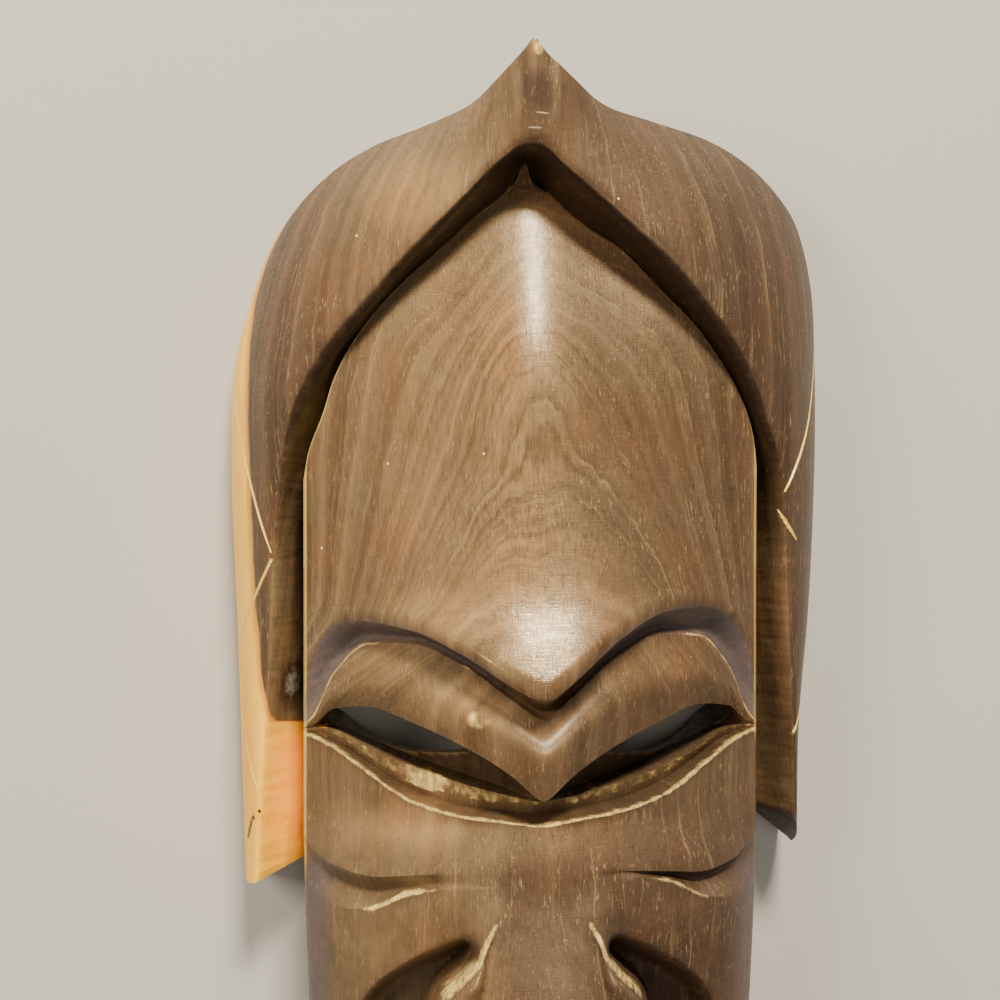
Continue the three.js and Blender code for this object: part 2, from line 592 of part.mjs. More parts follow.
// The almond-shaped cut through one eye, straight from front to back
function eyeSlit(side) {
  const upper = [];
  const lower = [];
  for (let i = 0; i <= SLIT_STEPS; i += 1) {
    const out = mix(SLIT_FROM, SLIT_TO, i / SLIT_STEPS);
    const x = side * out;
    const blunt = Math.sqrt(1 - clip(1 - (SLIT_TO - out) / SLIT_END, 0, 1) ** 2);
    const open = along(SLIT_ACROSS, SLIT_OPEN, out);
    const fromUpper = mix(SLIT_MIDDLE - SLIT_CLOSED, SLIT_MARGIN, blunt);
    const fromLower = mix(SLIT_MIDDLE + SLIT_CLOSED, open, blunt);
    upper.push(new THREE.Vector2(x, mix(rimY(x), ledgeY(x), fromUpper)));
    lower.push(new THREE.Vector2(x, mix(rimY(x), ledgeY(x), fromLower)));
  }
  const outline = new THREE.Shape([...upper, ...lower.reverse()]);
  const through = new THREE.ExtrudeGeometry(outline, { depth: SLIT_LENGTH, bevelEnabled: false });
  return solidOfGeometry(through.translate(0, 0, -2 * BELOW_RIM));
}

// The rounded cut of one nostril
function nostril(side) {
  const ball = new THREE.SphereGeometry(1, NOSTRIL_SPOKES, NOSTRIL_SPOKES / 2);
  return solidOfGeometry(ball.scale(...NOSTRIL_SIZE).translate(side * NOSTRIL_X, NOSTRIL_Y, NOSTRIL_Z));
}

// Everything below the plane of the back rim
function ground() {
  const length = 2 * (PEAK_Y - CHIN_Y);
  const box = new THREE.BoxGeometry(length, length, 4 * BELOW_RIM);
  return solidOfGeometry(box.translate(0, 0, -2 * BELOW_RIM));
}

const carved = hood()
  .add(face())
  .subtract(cavity())
  .subtract(eyeSlit(-1))
  .subtract(eyeSlit(1))
  .subtract(nostril(-1))
  .subtract(nostril(1))
  .subtract(ground());

const carvedMesh = carved.getMesh();
const maskGeometry = new THREE.BufferGeometry();
const corners = new Float32Array(carvedMesh.vertProperties);
maskGeometry.setAttribute("position", new THREE.BufferAttribute(corners, 3));
maskGeometry.setIndex(new THREE.BufferAttribute(new Uint32Array(carvedMesh.triVerts), 1));
maskGeometry.computeVertexNormals();

const wood = new THREE.MeshStandardMaterial({ color: 0x5c4330, roughness: 0.45, metalness: 0 });
const mask = new THREE.Mesh(maskGeometry, wood);
mask.name = "mask";

const maskGroup = new THREE.Group();
maskGroup.add(mask);

export default maskGroup;
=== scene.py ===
# A carved African mask: one block of dark hardwood that lies on its back rim, face up, on a pale floor.
# X runs across the mask, +Y towards the peak of its hood and +Z out of the face.
# Shapes are worked out in millimetres and made metres when a mesh is finished.
import math

import bmesh
import bpy
import numpy as np
from mathutils import Matrix, Vector
from mathutils.bvhtree import BVHTree


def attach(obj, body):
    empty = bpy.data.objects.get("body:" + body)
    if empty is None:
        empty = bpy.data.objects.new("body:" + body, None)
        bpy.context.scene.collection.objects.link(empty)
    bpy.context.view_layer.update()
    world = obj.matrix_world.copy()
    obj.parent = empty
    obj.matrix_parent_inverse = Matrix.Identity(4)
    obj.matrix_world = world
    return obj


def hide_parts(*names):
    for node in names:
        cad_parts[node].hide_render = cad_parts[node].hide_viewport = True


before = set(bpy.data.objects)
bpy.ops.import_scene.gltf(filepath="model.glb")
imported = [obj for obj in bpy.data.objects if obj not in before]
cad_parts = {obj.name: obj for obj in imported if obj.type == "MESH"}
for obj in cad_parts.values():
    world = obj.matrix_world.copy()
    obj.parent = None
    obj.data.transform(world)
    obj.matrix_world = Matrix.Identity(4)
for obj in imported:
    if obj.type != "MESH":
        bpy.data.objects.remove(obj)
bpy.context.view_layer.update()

MM = 0.001

# Whole mask
PEAK_Y = 187.0
CHIN_Y = -187.0
FACE_HALF_WIDTH = 67.0
EDGE_Y = [CHIN_Y, -160, -120, -60, 40, 110]
EDGE_Z = [22, 27, 33, 36.5, 37, 39]
BELOW_RIM = 4.0

# Where the lengthwise lines of the face are measured, out from the middle
ACROSS = [0, 10, 22, 36, 48, 58, 64, FACE_HALF_WIDTH]

# Places (Y) and heights (Z) of the carved lines at those distances
BROW_Y = [2.4, 9.2, 17.7, 24.1, 25.5, 22.6, 13.6, -2]
GROOVE_Y = [-1, 6.6, 15, 20.6, 20.6, 13, 1.5, -6.5]
LID_Y = [-3.3, 4.6, 13.2, 18.6, 17.8, 8.4, -4.5, -8]
LID_Z = [73.5, 68.3, 61.2, 53.3, 46.2, 40.4, 37.5, 36.6]
BAND_Y = [-7.7, 0.7, 9, 15.2, 14, 6.6, -4.6, -7.8]
BAND_Z = [73.2, 67.9, 61.2, 53.7, 46.9, 41, 37.7, 36.7]
ROLL_Y = [-14, -6.8, 0, 4.9, 5.6, 2, -5.5, -8]
ROLL_Z = [75.6, 70.6, 63.4, 55.1, 47.8, 41.6, 37.8, 36.7]
RIM_Y = [-25.6, -16.8, -10.4, -4.9, -1.4, -2.6, -7.5, -8.4]
RIM_Z = [72.5, 68.5, 61.2, 52.7, 45.1, 39.2, 37, 36.7]
LEDGE_Y = [-27.2, -25.2, -22.7, -19, -14.4, -9.7, -8.6, -8.8]
LEDGE_Z = [58, 57.2, 54, 47.8, 42, 36.8, 36.5, 36.7]
SHELF_Y = [-30.6, -29.4, -28.1, -24.3, -17.9, -12.2, -9.9, -9.7]
SHELF_Z = [56.5, 55.6, 52.3, 46, 40.2, 35.7, 36, 36.5]
SOCKET_Y = [-32.2, -30.8, -29.5, -26, -18.95, -12.9, -10.5, -10]
CHEEK_Y = [-44.3, -44.3, -44.6, -46, -47.5, -46, -42.5, -40]
FURROW_Y = [-46, -46, -46.2, -48.6, -51.2, -49.6, -45.6, -42.8]
FURROW_DEPTH = [0, 0, 0.2, 3.4, 4.6, 3.4, 1.6, 0.8]
CREST_Y = [-47.2, -47.2, -47.4, -49.6, -55.3, -56.8, -54.5, -52.5]
HOLLOW_Y = [-54, -56, -61, -68.5, -78.3, -96, -98, -88]
CHIN_EDGE_Y = [CHIN_Y, -186.3, -183.5, -175.5, -164, -147, -130, -112]

# Upper border of the face, a pointed arch under the hood
BORDER_X = [
    -67, -65.5, -61.3, -58.3, -53.9, -46, -36, -26, -17, -9, -4.5, -2.5,
    -0.6, 5.6, 14.2, 25.8, 36.4, 47, 55.7, 61.8, 65.7, 67,
]
BORDER_Y = [
    64, 72, 83, 92.5, 101.5, 112.7, 123.3, 132.2, 140.8, 147.1, 152.5, 159.5,
    151.8, 146.9, 139, 131.6, 120.5, 109.8, 98.2, 88.1, 77.2, 68,
]
# Height of the small bevel along the sharp edge of the face
ARRIS = 0.5

# Height of the face along its middle line, above and below the eyes. A span is the place where a change
# along the mask starts and the length that it takes.
FOREHEAD_Y = [4.5, 17, 33, 60, 85, 100, 120, 140, 160]
FOREHEAD_Z = [81, 75.3, 68.3, 62.5, 57.8, 53.5, 46.4, 38.6, 31.6]
LOWER_Y = [CHIN_Y, -180, -170, -158, -138, -105, -75, -46, -31.9]
LOWER_Z = [52, 57, 59, 56, 62, 63, 66.5, 70, 67]
FOREHEAD_ROUNDING = 1.25
FOREHEAD_SPAN = (20.0, 60.0)
BROW_ROUNDING = 1.7
FOREHEAD_SOFTNESS = 8.0
KEEL_X = -1.5
KEEL_HEIGHT = 4.6
KEEL_WIDTH = 17.0
KEEL_SPAN = (60.0, 45.0)
EYE_ROUNDING = 1.75
CHEEK_ROUNDING = 2.3
CHEEK_SHOULDER = 0.72
CHEEK_SPAN = (-30.0, 30.0)
CHIN_ROLL = 20.0
CHIN_SPAN = (-100.0, 30.0)
JAW_TAPER = 0.09
JAW_START = -40.0
JAW_LENGTH = 147.0
JAW_CURVE = 1.2

# The middle of each V is rounded, and the brow turns over softly
CENTRE_ROUNDING = 1.6
BROW_TURN = 6.5
BROW_TURN_SIDE = 3.0
BROW_DROP = 2.6
GROOVE_DEPTH = 2.6

# The right brow, lid and socket stand a little higher than the left, and the ledge a little lower
BROW_LIFT = 2.4
LID_LIFT = 1.2
RIM_LIFT = -0.1
LEDGE_LIFT = -0.7
SOCKET_LIFT = 0.5
CREST_LIFT = 1.2

# Points between the lid's band, its roll and its rim: how far along in place and in height
UPPER_ROLL = np.array([[0.5], [0.6]])
LOWER_ROLL = np.array([[0.6], [0.5]])

# Eye recess and the slit through it
RECESS_SLOPE = 1.1
RECESS_WALL = 0.08
SLIT_FROM = 19.0
SLIT_TO = 60.0
SLIT_MARGIN = 0.1
SLIT_END = 6.0
SLIT_END_TOP = 0.4
SLIT_END_BOTTOM = 0.42
SLIT_COLUMNS = 41
SLIT_LOW = -10.0
SLIT_HIGH = 100.0
SLIT_ACROSS = [19, 24, 28, 36, 44, 50, 60]
SLIT_OPEN = [0.3, 0.52, 0.64, 0.84, 0.91, 0.92, 0.9]

# Nose, the hollows beside it, and the lips
NOSE_Y = [-109, -107.5, -104.5, -100, -93, -80, -66, -56, -46]
NOSE_Z = [62, 70, 76.5, 80.6, 82, 78.5, 74, 71.2, 70]
NOSE_FALL_Y = [-109, -95, -80, -46]
NOSE_FALL = [9, 7, 3.5, 2]
NOSE_START = 12.0
BRIDGE_SIDE_Y = [-109, -100, -85, -67, -62.5, -57.7, -46]
BRIDGE_SIDE_X = [13, 16.5, 17, 16, 14.5, 12.5, 12]
BRIDGE_SQUARENESS = 2.5
BRIDGE_WALL = 4.0
WING_SIDE_Y = [-108.5, -107, -103, -98, -92, -85, -78, -73.5, -70, -67, -62.5, -57.7, -46]
WING_SIDE_X = [12, 20, 26.5, 30, 31.5, 30.5, 27, 22.5, 19.4, 17.2, 15.5, 13, 12]
WING_Z_Y = [-108.5, -104, -92, -78, -67, -57, -46]
WING_Z = [60, 66, 69, 70.5, 72, 71, 70]
WING_PILLOW = 5.5
WING_SWELL = 6.0
WING_WALL = 2.8
BRIDGE_FOOT = 12.0
BRIDGE_FOOT_SPAN = (-56.0, 14.0)
NOSTRIL_X = 15.0
NOSTRIL_Y = -106.5
NOSTRIL_Z = 68.5
NOSTRIL_SIZE = (5.0, 8.0, 3.6)
HOLLOW_ACROSS = [13, 24, 36, 48, 54, 58]
HOLLOW_TOP = [-57.5, -61.9, -68.5, -78.3, -87, -112]
HOLLOW_SIDE_Y = [-150, -136, -124, -112, -100, -88, -78]
HOLLOW_SIDE_X = [30, 38, 45.5, 51, 54.5, 55, 54]
HOLLOW_DEPTH = 15.0
HOLLOW_SOFTNESS = 10.0
HOLLOW_SIDE_SOFTNESS = 11.0
HOLLOW_END = -104.0
HOLLOW_FADE = 40.0
LIP_Y = -137.0
LIP_HALF_WIDTH = 31.0
UPPER_LIP = 6.5
LOWER_LIP = 7.5
LIP_HEIGHT = 8.5
LIP_CORNER = 0.3
LIP_FADE = 0.7
LIP_FULLNESS = 0.75
MUZZLE_HEIGHT = 4.0
MUZZLE_HALF_WIDTH = 34.0
MUZZLE_HALF_LENGTH = 26.0

# Rails of the hood from the peak to the end of the left and the right flap: outline, front ridge, and foot of
# the inner wall, which lies inside the face
OUTLINE_LEFT = [
    (-1.4, 187, 61), (-4.6, 184, 60), (-11.4, 177.3, 55), (-19, 171.6, 47), (-32, 167.8, 36),
    (-46, 163.8, 28.5), (-58.5, 157.2, 23), (-69.5, 147.3, 18), (-78.3, 134.2, 15), (-84.6, 117, 13.5),
    (-89.3, 97, 12.5), (-90.3, 66, 12), (-88.6, 24, 12), (-87.2, -18, 12), (-86, -58, 12),
]
OUTLINE_RIGHT = [
    (-1.4, 187, 61), (1.8, 184, 60), (10.6, 177.3, 55), (20.5, 172, 47), (36, 169.7, 38),
    (53, 166.3, 31), (66, 160.8, 25.5), (76.5, 153, 20.5), (84.6, 142.5, 16.5), (89.7, 124, 14),
    (91.3, 100, 12.5), (91.4, 68, 12), (89.3, 24, 12), (85, -14, 12), (83.8, -49, 12),
]
RIDGE_LEFT = [
    (-2.2, 156.5, 57), (-6.5, 155.6, 57), (-12.5, 151.3, 57.2), (-19.5, 143.9, 57.5), (-28, 134.7, 57),
    (-37.5, 124.7, 56), (-47, 113.3, 53.8), (-56.4, 103.4, 50.3), (-63.4, 94.1, 47), (-68.3, 85.2, 44.7),
    (-71.5, 73, 41.5), (-74.5, 51, 38), (-76.5, 18, 35.5), (-79, -20, 33), (-81, -55, 29),
]
RIDGE_RIGHT = [
    (-2.2, 156.5, 57), (2.4, 155.8, 57), (8.5, 150.5, 57.2), (17, 143.3, 57.5), (27.5, 133.5, 57),
    (38.5, 123.3, 56), (49, 111.3, 53), (58, 99.8, 49), (64, 89.2, 45.8), (68.5, 78, 42.8),
    (72.2, 68.5, 40.5), (75, 49, 38), (77, 18, 35.5), (79.3, -12, 33), (81, -39, 29),
]
FOOT_LEFT = [
    (-2.4, 157, 30), (-3.4, 152.3, 30), (-6.8, 144.7, 30), (-15.2, 138.9, 30), (-24.6, 130.5, 30),
    (-35.1, 122.3, 30), (-45, 112, 28), (-51, 99.3, 26), (-52.8, 90.8, 24), (-55.9, 81.3, 22),
    (-62.3, 71.5, 19.5), (-65.5, 49, 14), (-65.5, 17, 12.5), (-65.5, -20, 12), (-65.5, -50, 12),
]
FOOT_RIGHT = [
    (-2.4, 157, 30), (-0.8, 151.3, 30), (3.9, 144.8, 30), (12.5, 136.4, 30), (24.7, 130.4, 30),
    (34.9, 118.5, 30), (45, 108.2, 28), (53, 96.3, 26), (59, 86.6, 24), (63.1, 76.5, 22),
    (64.9, 67.5, 19.5), (65.5, 48, 14), (65.5, 17, 12.5), (65.5, -12, 12), (65.5, -34, 12),
]
RIDGE_BLUNT = 0.18
HOOD_SLANT = 0.35
SIDE_BULGE = 0.08
SIDE_BULGE_HEIGHT = 0.35
CROWN_PLACE = 0.6
CROWN_DROP = 0.12
WALL_TAPER = 0.97
WALL_TAPER_SPAN = (-45.0, 60.0)

# Scoop in the front of the peak, under its tip
SCOOP_X = -1.2
SCOOP_HALF_WIDTH = 7.5
SCOOP_SPAN = (160.0, 21.0)
SCOOP_TIP = 7.0
SCOOP_DEPTH = 2.2
PEAK_BULGE = 8.5
PEAK_REACH = 0.16

# Block of ground that cuts the mask off flat at its back rim
GROUND_SIZE = (400, 600, 40)

# Hollow back
CAVITY_HALF_WIDTH = 56.0
CAVITY_TOP = 134.0
CAVITY_BOTTOM = -170.0
CAVITY_DEPTH = 38.0
CAVITY_SQUARENESS = 2.5
CAVITY_FULLNESS = 0.8

# How finely the blocks are divided: rows along the face, columns across half of it, rows along half of the
# hood, and columns round the hood's back, front, ridge and inner wall. Rows crowd a little towards one end.
FOREHEAD_ROWS = 70
FOREHEAD_CROWDING = 1.25
TURN_ROWS = 12
GROOVE_ROWS = [7, 5]
LID_ROWS = [4, 4, 5, 6, 6]
RECESS_ROWS = [5, 7, 5, 7, 4]
CHEEK_ROWS = 18
FURROW_ROWS = [6, 6]
CREST_ROWS = 12
CHIN_ROWS = 118
CHIN_CROWDING = 1.05
FACE_COLUMNS = 100
COLUMN_CROWDING = 0.92
HOOD_ROWS = 230
BACK_COLUMNS = 9
FRONT_COLUMNS = 27
RIDGE_COLUMNS = 7
WALL_COLUMNS = 9
WALL_FROM = BACK_COLUMNS + FRONT_COLUMNS + RIDGE_COLUMNS // 2 + 1
CAVITY_GRID = (96, 64)
NOSTRIL_GRID = (24, 16)
SAME_PLACE = 0.001
SHARP_FROM = math.radians(32)

# Which cut made each part of the surface
HOOD, INNER_WALL, FACE, HOLLOW, SLIT, RIM, GROOVE = range(7)

# Pale lines cut across the two flaps, from the outline towards the face and back
FLAP_LINES = [
    [(-88.8, 88.5), (-86.2, 76), (-82.6, 62), (-79.3, 51), (-76.4, 42.6)],
    [(-76.2, 41), (-80.7, 31.5), (-84, 24), (-87.2, 15)],
    [(-87.2, -3.2), (-84.2, -17), (-79.6, -29.5)],
    [(91, 106), (88.4, 94), (84.2, 79.5), (78.6, 67), (75.2, 60.5)],
    [(73.6, 55.2), (76.7, 50.2), (79.6, 46.2)],
    [(87.4, 15), (85, -0.5), (79.2, -12)],
]
LINE_WIDTH = 0.55
LINE_DEPTH = 0.6
LINE_STEPS = 25
LINE_END = 0.35
LINE_TAPER = 0.6
LINE_CLEARANCE = 1.5
ABOVE_MASK = 150.0
CRACK = [(-79.9, -33.5), (-82.6, -36.5), (-84.3, -43)]

# Edge of the pale sapwood on the left flap, from the shoulder to the flap's dark inner end
SAPWOOD_Y = [
    -13, -9.5, -8.2, -4.6, 1.8, 8, 16.6, 28, 58, 88,
    103.5, 112.5, 120, 127, 134, 141, 146, 150, 156,
]
SAPWOOD_X = [
    -64, -66, -74.5, -76.9, -78.4, -79.4, -80.1, -81.4, -82.7, -83.7,
    -83.6, -82.9, -81.8, -80, -77.5, -74, -71.2, -69.5, -69,
]
SAPWOOD_REACH = 5
KNOT = Vector((-73.6, 3.2, 21.0))

# Width of the pale band on the ledge under each eye, out from the middle
LEDGE_BAND_ACROSS = [0, 10, 16, 25, 33, 45, 55, 60]
LEDGE_BAND_LEFT = [1.2, 2.2, 4.2, 4.2, 5.6, 3.1, 1.9, 0.8]
LEDGE_BAND_RIGHT = [0.8, 1.2, 2.6, 2.6, 2.4, 1.7, 1.4, 0.8]
# Small places worn through the varnish: middle and radius
BRIGHT_SPOTS = [((-31.8, -20.7), 3.4), ((-17.5, -2.6), 4.6), ((9.5, -26.6), 2.6), ((15.5, -25.2), 2.8)]
# Broad paler areas, partly finish rubbed by handling and partly painted highlight on the brow, the lids, the
# middle of the forehead and the peak: middle, half width and half height, and how pale
PALE_AREAS = [
    ((-2, 30), (26, 22), 0.75), ((-24, 26), (18, 9), 1.0), ((22, 27), (16, 7), 0.6),
    ((-22, 2), (16, 7), 1.0), ((-42, 13), (14, 7), 0.5), ((30, 12), (20, 8), 0.75),
    ((-3, 100), (16, 60), 0.55), ((-35, -33), (15, 7), 1.0), ((-52, -34), (9, 8), 0.5),
    ((-46, -66), (12, 9), 0.35), ((40, -60), (16, 8), 0.35), ((-36, 146), (20, 13), 0.8),
    ((-58, 128), (14, 26), 0.35), ((-34, 63), (10, 22), 0.3), ((-30, 92), (12, 26), 0.3),
    ((-1.2, 182), (3, 6), 0.8), ((-5.9, 172), (1.6, 7), 1.0),
]
# Small pale specks and nicks: place, half width and half height
SPECKS = [
    (-51.3, 133.5, 0.3, 0.3), (22.7, 143.3, 0.3, 0.3), (-61.5, 44.1, 0.3, 0.3), (-42.4, 68.4, 0.3, 0.3),
    (-15.6, 71.0, 0.3, 0.3), (0.7, 166.5, 1.8, 0.22), (-1.2, 162.4, 1.8, 0.22),
]

# Tones of the wood, the gains that make it paler, redder or darker, some of them painted highlight, painted
# shade and painted cool reflection, and its varnish
HEART_TONES = [
    (0.3, (0.062, 0.039, 0.020)),
    (0.43, (0.092, 0.059, 0.033)),
    (0.55, (0.128, 0.084, 0.047)),
    (0.7, (0.180, 0.120, 0.066)),
]
CALM_TONES = [(0.35, (0.086, 0.056, 0.032)), (0.65, (0.142, 0.095, 0.052))]
FIGURE_GAINS = [(0.4, (0.7, 0.66, 0.6)), (0.58, (1.4, 1.38, 1.32))]
# Paler where rubbed, and painted highlights
RUBBED_AND_HIGHLIT_GAIN = (1.75, 1.75, 1.6)
MOTTLE_GAIN = (1.12, 0.95, 0.88)
# Painted shade with a purple cast of painted cool reflection, partly darker wood on the right
DARK_WOOD_AND_SHADE_GAIN = (0.37, 0.32, 0.42)
PORES = (0.03, 0.018, 0.012)
SAP_TONES = [(0.45, (0.95, 0.43, 0.012)), (0.62, (1.0, 0.51, 0.02)), (0.8, (1.0, 0.6, 0.05))]
SAP_STAIN = (0.5, 0.17, 0.03)
KNOT_STAIN = (0.035, 0.015, 0.008)
DUST_TONES = [(0.35, (0.05, 0.045, 0.045)), (0.65, (0.36, 0.35, 0.35))]
RAW_WOOD = (0.20, 0.115, 0.06)
# Painted shade for the creases and the hood's inner walls
PAINTED_SHADE_TONE = (0.018, 0.009, 0.005)
# Pale wear, also used for the painted highlights on the left brow and the peak's tip
WEAR_AND_GLINT_TONES = [(0.35, (0.36, 0.25, 0.11)), (0.65, (0.88, 0.7, 0.27))]
GOLDEN_EDGE = (0.56, 0.4, 0.12)
PALE_STREAK = (0.36, 0.25, 0.13)
PALE_FLECK = (0.42, 0.3, 0.17)
PALE_SPECK = (0.8, 0.72, 0.6)
# Painted cool reflection, a bluish cast on surfaces that face away from the lamps
COOL_REFLECTION_TONE = (0.08, 0.07, 0.096)
CRACK_SHADE = (0.05, 0.02, 0.01)
FRESH_CUT = (0.85, 0.62, 0.15)
VARNISH = {
    "Coat Weight": 0.3,
    "Coat Roughness": 0.26,
    "Specular IOR Level": 0.62,
    "Specular Tint": (1.0, 0.83, 0.57, 1),
}

# Floor and light: the softboxes' names, places, sizes, power, and whether the varnish mirrors them
FLOOR_SIZE = 3
FLOOR_TONE = (0.42, 0.42, 0.43, 1)
FLOOR_ROUGHNESS = 0.8
WARM_LIGHT = (1.0, 0.86, 0.62)
COOL_SKY = (0.64, 0.77, 1, 1)
SKY_STRENGTH = 0.13
LIGHT_TARGET = Vector((0, 0.03, 0.04))
SOFTBOXES = [
    ("head_light", (0.32, 2.0, 1.62), (0.6, 0.4), 165, True),
    ("side_light", (-1.0, 0.45, 0.95), (0.6, 0.6), 21, False),
    ("front_light", (0.1, -0.1, 1.6), (1.0, 1.0), 10, False),
]

# Camera: where it looks, how far off it is and turned to the mask's right cheek, and its lens
LOOK_AT = Vector((-10.1, 58.0, 45.0)) * MM
CAMERA_DISTANCE = 0.450
CAMERA_TURN = math.radians(4.0)
LENS = 56.05
SENSOR = 36.0
CLIP_START = 0.01


def curve(a, b, leave, arrive, t):
    """A smooth curve from a to b with a slope at each end, read at t from 0 to 1."""
    u = 1 - t
    start = a * (1 + 2 * t) * u * u + leave * t * u * u
    return start + b * (3 - 2 * t) * t * t - arrive * t * t * u


def smooth_line(places, values, at):
    """A smooth curve without overshoot through values at places, read at many places."""
    p = np.asarray(places, float)
    v = np.asarray(values, float)
    if p[-1] < p[0]:
        p = p[::-1]
        v = v[::-1]
    slope = np.diff(v) / np.diff(p)
    before = slope[:-1]
    after = slope[1:]
    same = before * after > 0
    total = np.where(same, before + after, 1.0)
    inner = np.where(same, 2 * before * after / total, 0.0)
    tangent = np.concatenate([slope[:1], inner, slope[-1:]])
    at = np.asarray(at, float)
    i = np.clip(np.searchsorted(p, at, side="right") - 1, 0, len(p) - 2)
    width = p[i + 1] - p[i]
    t = unit((at - p[i]) / width)
    return curve(v[i], v[i + 1], tangent[i] * width, tangent[i + 1] * width, t)


def rail(left, right, t):
    """A smooth rail from the left flap over the peak to the right flap, read at t from -1 to 1."""
    v = np.array(left[:0:-1] + right, float)
    last = len(v) - 1
    reach = (t + 1) / 2 * last
    i = np.clip(reach.astype(int), 0, last - 1)
    tangent = np.gradient(v, axis=0)
    return curve(v[i], v[i + 1], tangent[i], tangent[i + 1], (reach - i)[:, None])


def unit(t):
    """A value limited to between 0 and 1."""
    return np.clip(t, 0, 1)


def ease(t):
    t = unit(t)
    return t * t * (3 - 2 * t)


def rise(at, start, length):
    """0 up to a start, then up to 1 over a length."""
    return ease((at - start) / length)


def fall(at, start, length):
    """0 down to a start, then up to 1 over a length below it."""
    return ease((start - at) / length)


def mix(a, b, t):
    return a + (b - a) * t


def across(values, x):
    return smooth_line(ACROSS, values, np.hypot(x, CENTRE_ROUNDING))


def lifted(values, x, lift):
    """A line across the face that stands higher on the right by a lift."""
    return across(values, x) + lift * np.sign(x) * np.sin(np.pi * np.abs(x) / FACE_HALF_WIDTH)


def forehead_height(x, y):
    """Height of the forehead, which turns over softly above the brow."""
    out = np.abs(x) / FACE_HALF_WIDTH
    soft = np.hypot(x, FOREHEAD_SOFTNESS) - FOREHEAD_SOFTNESS
    reach = np.minimum(soft / (math.hypot(FACE_HALF_WIDTH, FOREHEAD_SOFTNESS) - FOREHEAD_SOFTNESS), 1)
    middle = smooth_line(FOREHEAD_Y, FOREHEAD_Z, y)
    rounding = mix(BROW_ROUNDING, FOREHEAD_ROUNDING, rise(y, *FOREHEAD_SPAN))
    height = mix(middle, smooth_line(EDGE_Y, EDGE_Z, y), reach**rounding)
    keel = KEEL_HEIGHT * np.exp(-(((x - KEEL_X) / KEEL_WIDTH) ** 2))
    height = height + keel * rise(y, *KEEL_SPAN)
    turn = mix(BROW_TURN, BROW_TURN_SIDE, out)
    to_brow = unit((lifted(BROW_Y, x, BROW_LIFT) + turn - y) / turn)
    return height - BROW_DROP * (1 - out) ** 0.5 * to_brow * to_brow


def lower_height(x, y):
    """Height of the plain lower face: domed, with rounded sides and a rounded chin."""
    out = np.minimum(np.abs(x) / FACE_HALF_WIDTH, 1)
    middle = smooth_line(LOWER_Y, LOWER_Z, y)
    edge = smooth_line(EDGE_Y, EDGE_Z, y)
    below_eye = fall(y, *CHEEK_SPAN)
    rounding = mix(EYE_ROUNDING, CHEEK_ROUNDING, below_eye)
    shoulder = mix(1, CHEEK_SHOULDER, below_eye)
    height = edge + (middle - edge) * (1 - out**rounding) ** shoulder
    from_chin = unit((y - across(CHIN_EDGE_Y, x)) / CHIN_ROLL)
    chin_near = fall(y, *CHIN_SPAN)
    rolled = edge + (height - edge) * np.sqrt(1 - (1 - from_chin) ** 2)
    return mix(height, rolled, chin_near)


def nose_height(x, y, ground):
    """Height of the nose over the ground it stands on: a flat bridge between two round wings."""
    out = np.abs(x)
    side = smooth_line(WING_SIDE_Y, WING_SIDE_X, y)
    bridge_side = smooth_line(BRIDGE_SIDE_Y, BRIDGE_SIDE_X, y)
    across_wing = unit((out - bridge_side) / np.maximum(side - bridge_side, 1))
    swell = unit((side - bridge_side) / WING_SWELL)
    pillow = WING_PILLOW * swell * np.sqrt(4 * across_wing * (1 - across_wing))
    wing = smooth_line(WING_Z_Y, WING_Z, y) + pillow
    foot = mix(BRIDGE_FOOT, WING_WALL, fall(y, *BRIDGE_FOOT_SPAN))
    wing = mix(wing, ground, rise(out, side, foot))
    drop = smooth_line(NOSE_FALL_Y, NOSE_FALL, y)
    bridge = smooth_line(NOSE_Y, NOSE_Z, y) - drop * (out / bridge_side) ** BRIDGE_SQUARENESS
    nose = np.maximum(mix(bridge, wing, rise(out, bridge_side, BRIDGE_WALL)), wing)
    nose = mix(ground, np.maximum(nose, ground), fall(y, NOSE_Y[-1], NOSE_START))
    return np.where((y > WING_SIDE_Y[0]) & (y < NOSE_Y[-1]), nose, ground)


def carved_lower_height(x, y):
    """Height of the lower face with its nose, hollows and lips."""
    out = np.abs(x)
    top = smooth_line(HOLLOW_ACROSS, HOLLOW_TOP, out)
    side = smooth_line(HOLLOW_SIDE_Y, HOLLOW_SIDE_X, y)
    inside = fall(y, top, HOLLOW_SOFTNESS) * fall(out, side, HOLLOW_SIDE_SOFTNESS)
    fade = ease((y - HOLLOW_END) / HOLLOW_FADE + 1)
    ground = lower_height(x, y) - HOLLOW_DEPTH * inside * fade
    muzzle = (x / MUZZLE_HALF_WIDTH) ** 2 + ((y - LIP_Y) / MUZZLE_HALF_LENGTH) ** 2
    ground = ground + MUZZLE_HEIGHT * np.exp(-muzzle)
    lip = np.sqrt(1 - np.minimum(out / LIP_HALF_WIDTH, 1) ** 2)
    for offset in (UPPER_LIP, -LOWER_LIP):
        half = abs(offset) * lip + LIP_CORNER
        away = (y - LIP_Y - offset * lip) / half
        ground = ground + LIP_HEIGHT * lip**LIP_FADE * unit(1 - away * away) ** LIP_FULLNESS
    return nose_height(x, y, ground)


def chain(knots, steps):
    """Rows through the knot lines of one carved surface, smooth inside and free at its two ends."""
    rows = []
    last = len(knots) - 1
    for i in range(last):
        a = knots[i]
        b = knots[i + 1]
        leave = (b - knots[i - 1]) / 2 if i > 0 else b - a
        arrive = (knots[i + 2] - a) / 2 if i < last - 1 else b - a
        rows += [curve(a, b, leave, arrive, k / steps[i]) for k in range(steps[i])]
    return rows


